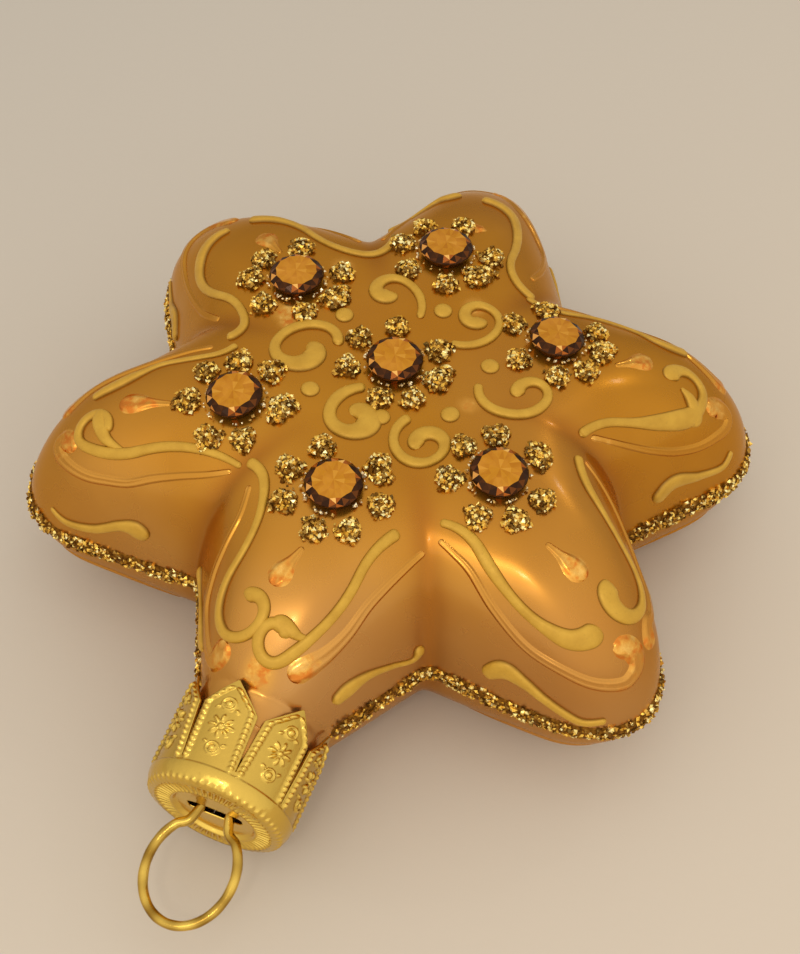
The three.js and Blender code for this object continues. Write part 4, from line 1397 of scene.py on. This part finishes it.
class ORNAMENT_OT_cap(bpy.types.Operator):
    """Stamp the cap with its eight leaves"""
    bl_idname = "ornament.cap"
    bl_label = "Stamped cap"

    def execute(self, context):
        points, faces, raised = join([cap_sector(leaf) for leaf in range(CAP["leaves"])])
        points, faces, kept = weld(points, faces)
        points = flare(points)
        away = points - np.array([0, -40, 0])
        if np.einsum("ij,ij->i", point_normals(points, faces), away).mean() < 0:
            faces = faces[:, ::-1]
        points, faces = thicken(points, faces, in_mm("sheet_thickness"))
        raised = np.concatenate([raised[kept], np.ones(len(kept))])
        new_piece("stamped_cap", "gold_metal", ["cap"], on_neck(points), faces,
                  gold_material("stamped_gold", 0.62), raised=raised)
        return {"FINISHED"}


class ORNAMENT_OT_ring(bpy.types.Operator):
    """Bend the wire ring that the ornament hangs by"""
    bl_idname = "ornament.ring"
    bl_label = "Hanging ring"

    def execute(self, context):
        path = self.wire_path()
        along = unit(np.gradient(path, axis=0))
        up = unit(np.cross(along, [0.0, 0.25, 1.0]))
        other = np.cross(along, up)
        turns = round_turn(RING_COLUMNS)
        share = np.linspace(0, 1, len(path))
        wobble = 1 + 0.035 * np.sin(share * 61) * np.sin(share * 23 + 1)
        radius = in_mm("wire_thickness") / 2 * wobble[:, None]
        rings = [path + radius * (up * math.cos(turn) + other * math.sin(turn)) for turn in turns]
        points = np.concatenate([np.stack(rings, 1).reshape(-1, 3), path[[0, -1]]])
        first = np.arange(len(turns))
        last = first + (len(path) - 1) * len(turns)
        faces = np.concatenate([grid_faces(len(path), len(turns), wrap=True),
                                fan_faces(len(points) - 2, first[::-1]), fan_faces(len(points) - 1, last)])
        worn = 0.62 + 0.3 * np.sin(share * 47) * np.sin(share * 19)
        raised = np.concatenate([np.repeat(worn, len(turns)), [0, 0]])
        new_piece("wire_ring", "gold_metal", ["ring"], on_neck(points), faces,
                  gold_material("worn_wire", 1.5), raised=raised)
        return {"FINISHED"}

    def wire_path(self):
        """The wire's middle line, in the cap's own axes."""
        dip = math.radians(RING["dip"])
        twist = math.radians(RING["twist"])
        slot_distance = CAP["end"] - CAP["dish_depth"] - 0.25

        def place(x, out):
            """A place on the tilted ring: to its side, and out from the slot."""
            return (x, -slot_distance - out * math.cos(dip), x * math.sin(twist) - out * math.sin(dip))

        mouth, bends = RING["mouth"], RING["bends"]
        angles = np.radians(mouth + (360 - 2 * mouth) * np.arange(bends + 1) / bends)
        arc = [place(RING["half_width"] * math.sin(a), RING["centre"] - RING["half_length"] * math.cos(a))
               for a in angles]
        spread, inside = RING["leg_spread"], -RING["leg_inside"]
        return smooth_through([place(spread, inside), *arc, place(-spread, inside)], RING_ROWS)


class ORNAMENT_OT_stage(bpy.types.Operator):
    """Set the pale table, the soft lights and the camera"""
    bl_idname = "ornament.stage"
    bl_label = "Table, lights and camera"

    def execute(self, context):
        context.scene.view_settings.view_transform = "Standard"
        self.lay_table()
        self.light_room(context.scene)
        self.place_lights()
        self.place_camera(context.scene)
        return {"FINISHED"}

    def lay_table(self):
        """A pale table under the ornament, with painted light: paler towards the near right, and mottled at
        random.
        """
        recipe = new_recipe("pale_table")
        colours = settings()
        # Painted light: the table's colour grows paler towards the near right.
        pale = recipe.remap(recipe.along((0.75, -0.65, 0)), -0.12, 0.12, 0, 1)
        tone = recipe.mix(pale, colours.table_shade_and_mottle, colours.table)
        tone = recipe.mix(recipe.clouds(9, 3, 0.35, 0.65, 0, 0.12), tone, colours.table_shade_and_mottle)
        paint = recipe.finish({"Base Color": tone, "Roughness": 0.75,
                               "Normal": recipe.bumps(600, 3, 0.06, 0.0004)})
        mesh = bpy.data.meshes.new("table")
        size = TABLE_SIZE / 2
        corners = [(-size, -size, 0), (size, -size, 0), (size, size, 0), (-size, size, 0)]
        mesh.from_pydata(corners, [], [(0, 1, 2, 3)])
        mesh.materials.append(paint)
        table = bpy.data.objects.new("table", mesh)
        bpy.context.collection.objects.link(table)

    def light_room(self, scene):
        """The room's even warm light: brightest high on the near side, darker low down behind."""
        recipe = Recipe(bpy.data.worlds.new("room"), "Background")
        facing = recipe.remap(recipe.along(ROOM_BRIGHT_SIDE, "Generated"), -1, 1, 0, 1)
        tone = recipe.ramp(facing, [(0, (0.26, 0.225, 0.185)), (1, (1, 0.94, 0.84))])
        scene.world = recipe.finish({"Color": tone, "Strength": settings().room_light})

    def place_lights(self):
        """A window on the near left, and two small lamps that make the grains and facets sparkle."""
        window, lamp = settings().window_power, settings().lamp_power
        for name, place, size, power, tint in (
            ("window", (-0.07, -0.55, 0.68), 0.42, window, (1, 0.94, 0.84)),
            ("lamp_near", (0.05, -0.4, 0.62), 0.05, lamp, (1, 0.93, 0.8)),
            ("lamp_far", (0.2, 0.5, 0.55), 0.05, lamp * 0.4, (1, 0.95, 0.85)),
        ):
            data = bpy.data.lights.new(name, "AREA")
            data.shape = "DISK"
            data.size = size
            data.energy = power
            data.color = tint
            light = bpy.data.objects.new(name, data)
            light.location = place
            light.rotation_mode = "QUATERNION"
            light.rotation_quaternion = (-Vector(place)).to_track_quat("-Z", "Y")
            bpy.context.collection.objects.link(light)

    def place_camera(self, scene):
        """The camera, turned a little, looking down on the star from beyond the cap."""
        azimuth, elevation, roll = [math.radians(CAMERA[key]) for key in ("azimuth", "elevation", "roll")]
        back = Vector((math.sin(azimuth) * math.cos(elevation), -math.cos(azimuth) * math.cos(elevation),
                       math.sin(elevation)))
        right = (-back).cross(Vector((0, 0, 1))).normalized()
        up = right.cross(-back)
        across = right * math.cos(roll) + up * math.sin(roll)
        above = -right * math.sin(roll) + up * math.cos(roll)
        data = bpy.data.cameras.new("camera")
        data.lens = CAMERA["lens"]
        data.sensor_width = 36
        data.clip_start = 0.01
        camera = bpy.data.objects.new("camera", data)
        turn = Matrix((across, above, back)).transposed().to_4x4()
        target = Vector(CAMERA["target"]) * MM
        camera.matrix_world = Matrix.Translation(target + back * CAMERA["distance"] * MM) @ turn
        bpy.context.collection.objects.link(camera)
        scene.camera = camera


# ---- Settings, panel and registration ----

def length(name, description, default):
    """A length that the sidebar shows in the scene's units."""
    return FloatProperty(name=name, description=description, default=default * MM, min=0,
                         subtype="DISTANCE", unit="LENGTH", precision=5)


def number(name, description, default, unit="NONE"):
    """A plain number, or a power in watts."""
    return FloatProperty(name=name, description=description, default=default, min=0, unit=unit)


def colour(name, description, default):
    """A colour that the sidebar shows as a swatch."""
    return FloatVectorProperty(name=name, description=description, default=default, size=3,
                               min=0, max=1, subtype="COLOR")


class OrnamentSettings(bpy.types.PropertyGroup):
    """The ornament's sizes, colours and light"""

    enamel_height: length("Enamel height", "How far the enamel stands up from the glass", 0.5)
    stroke_width: number("Stroke width", "Width of the enamel strokes, as a share", 0.86)
    relief_height: length("Relief height", "How far the moulded scrolls stand up", 0.26)
    crystal_radius: length("Crystal radius", "Radius of a crystal at its girdle", 3.2)
    table_radius: length("Table radius", "Radius of a crystal's flat top", 2.42)
    crystal_height: length("Crystal height", "Height of a crystal over the glass", 1.75)
    dab_radius: length("Dab radius", "Radius of a dab of glitter", 1.52)
    dab_height: length("Dab height", "Height of a dab of glitter", 0.95)
    dab_distance: length("Dab distance", "From a crystal's middle to the middle of its dabs", 5.4)
    grain_size: length("Grain size", "Width of a middling grain of glitter", 0.56)
    grains_per_dab: IntProperty(name="Grains per dab", description="Grains of glitter in one dab",
                                default=102, min=10, max=400)
    grains_per_mm: number("Grains per mm", "Grains in each millimetre of rope", 17)
    rope_half_height: length("Rope half height", "Half the height of the rope of glitter", 1.25)
    rope_lift: length("Rope lift", "How far the rope's middle lies over the seam", 0.35)
    rope_thickness: length("Rope thickness", "How far the rope stands out from the glass", 0.6)
    sheet_thickness: length("Sheet thickness", "Thickness of the cap's metal", 0.28)
    wire_thickness: length("Wire thickness", "Thickness of the ring's wire", 1.1)
    room_light: number("Room light", "Strength of the even light", 1.2)
    window_power: number("Window", "Power of the wide soft light", 0.45, "POWER")
    lamp_power: number("Lamps", "Power of each small lamp", 0.2, "POWER")
    lacquer: colour("Lacquer", "Where the lacquer is even", (0.56, 0.245, 0.016))
    lacquer_dark: colour("Lacquer, darker", "Clouds in the lacquer", (0.49, 0.2, 0.011))
    # A pale pearly tone: random pearly clouds, and painted sheen on the near, low walls.
    lacquer_pearl_and_sheen: colour("Lacquer, pearly", "Pale pearly patches in the lacquer", (0.62, 0.335, 0.115))
    # Darker lacquer: random clouds, and painted shade along the valleys.
    lacquer_pooled: colour("Lacquer, pooled", "Thick lacquer in the valleys", (0.38, 0.13, 0.01))
    rubbed: colour("Rubbed lacquer", "Lacquer rubbed thin on the relief", (0.68, 0.21, 0.022))
    rubbed_middle: colour("Rubbed, middle", "Lacquer rubbed thinner still", (0.76, 0.37, 0.06))
    rubbed_pale: colour("Rubbed, pale", "Where the silver shows through", (0.86, 0.5, 0.12))
    enamel: colour("Enamel", "The raised enamel", (0.64, 0.372, 0.045))
    enamel_dark: colour("Enamel, darker", "Clouds in the enamel", (0.53, 0.29, 0.03))
    # Painted shade at the strokes' steep edges.
    enamel_edge_shade: colour("Enamel, edge", "The steep edges of the strokes", (0.2, 0.09, 0.008))
    amber: colour("Amber", "A crystal's window", (0.58, 0.25, 0.016))
    # The darker facets of the window: painted reflections.
    amber_dark: colour("Amber, darker", "The deeper part of the window", (0.48, 0.18, 0.01))
    gold: colour("Gold", "The cap and the ring", (0.84, 0.575, 0.115))
    # Gold in stains and worn streaks, and painted shade in the recesses.
    gold_stain_and_shade: colour("Gold, darker", "Gold in recesses and stains", (0.32, 0.18, 0.028))
    table: colour("Table", "The pale table", (0.73, 0.635, 0.525))
    # The table's random mottling, and its painted shade away from the near right.
    table_shade_and_mottle: colour("Table, darker", "The table farther from the window", (0.52, 0.48, 0.43))


OPERATORS = (
    ORNAMENT_OT_glass, ORNAMENT_OT_relief, ORNAMENT_OT_enamel, ORNAMENT_OT_crystals, ORNAMENT_OT_dabs,
    ORNAMENT_OT_seam, ORNAMENT_OT_cap, ORNAMENT_OT_ring, ORNAMENT_OT_stage,
)


class VIEW3D_PT_star_ornament(bpy.types.Panel):
    """The steps and settings of the star ornament"""
    bl_label = "Star ornament"
    bl_idname = "VIEW3D_PT_star_ornament"
    bl_space_type = "VIEW_3D"
    bl_region_type = "UI"
    bl_category = "Star ornament"

    def draw(self, context):
        column = self.layout.column()
        for operator in OPERATORS:
            column.operator(operator.bl_idname)
        for name in OrnamentSettings.__annotations__:
            column.prop(context.scene.star_ornament, name)


CLASSES = (OrnamentSettings, *OPERATORS, VIEW3D_PT_star_ornament)


def register():
    for entry in CLASSES:
        bpy.utils.register_class(entry)
    bpy.types.Scene.star_ornament = PointerProperty(type=OrnamentSettings)


def unregister():
    del bpy.types.Scene.star_ornament
    for entry in reversed(CLASSES):
        bpy.utils.unregister_class(entry)


def main():
    register()
    bpy.ops.ornament.stage()
    bpy.ops.ornament.glass()
    bpy.ops.ornament.relief()
    bpy.ops.ornament.enamel()
    bpy.ops.ornament.crystals()
    bpy.ops.ornament.dabs()
    bpy.ops.ornament.seam()
    bpy.ops.ornament.cap()
    bpy.ops.ornament.ring()


if __name__ == "__main__":
    main()
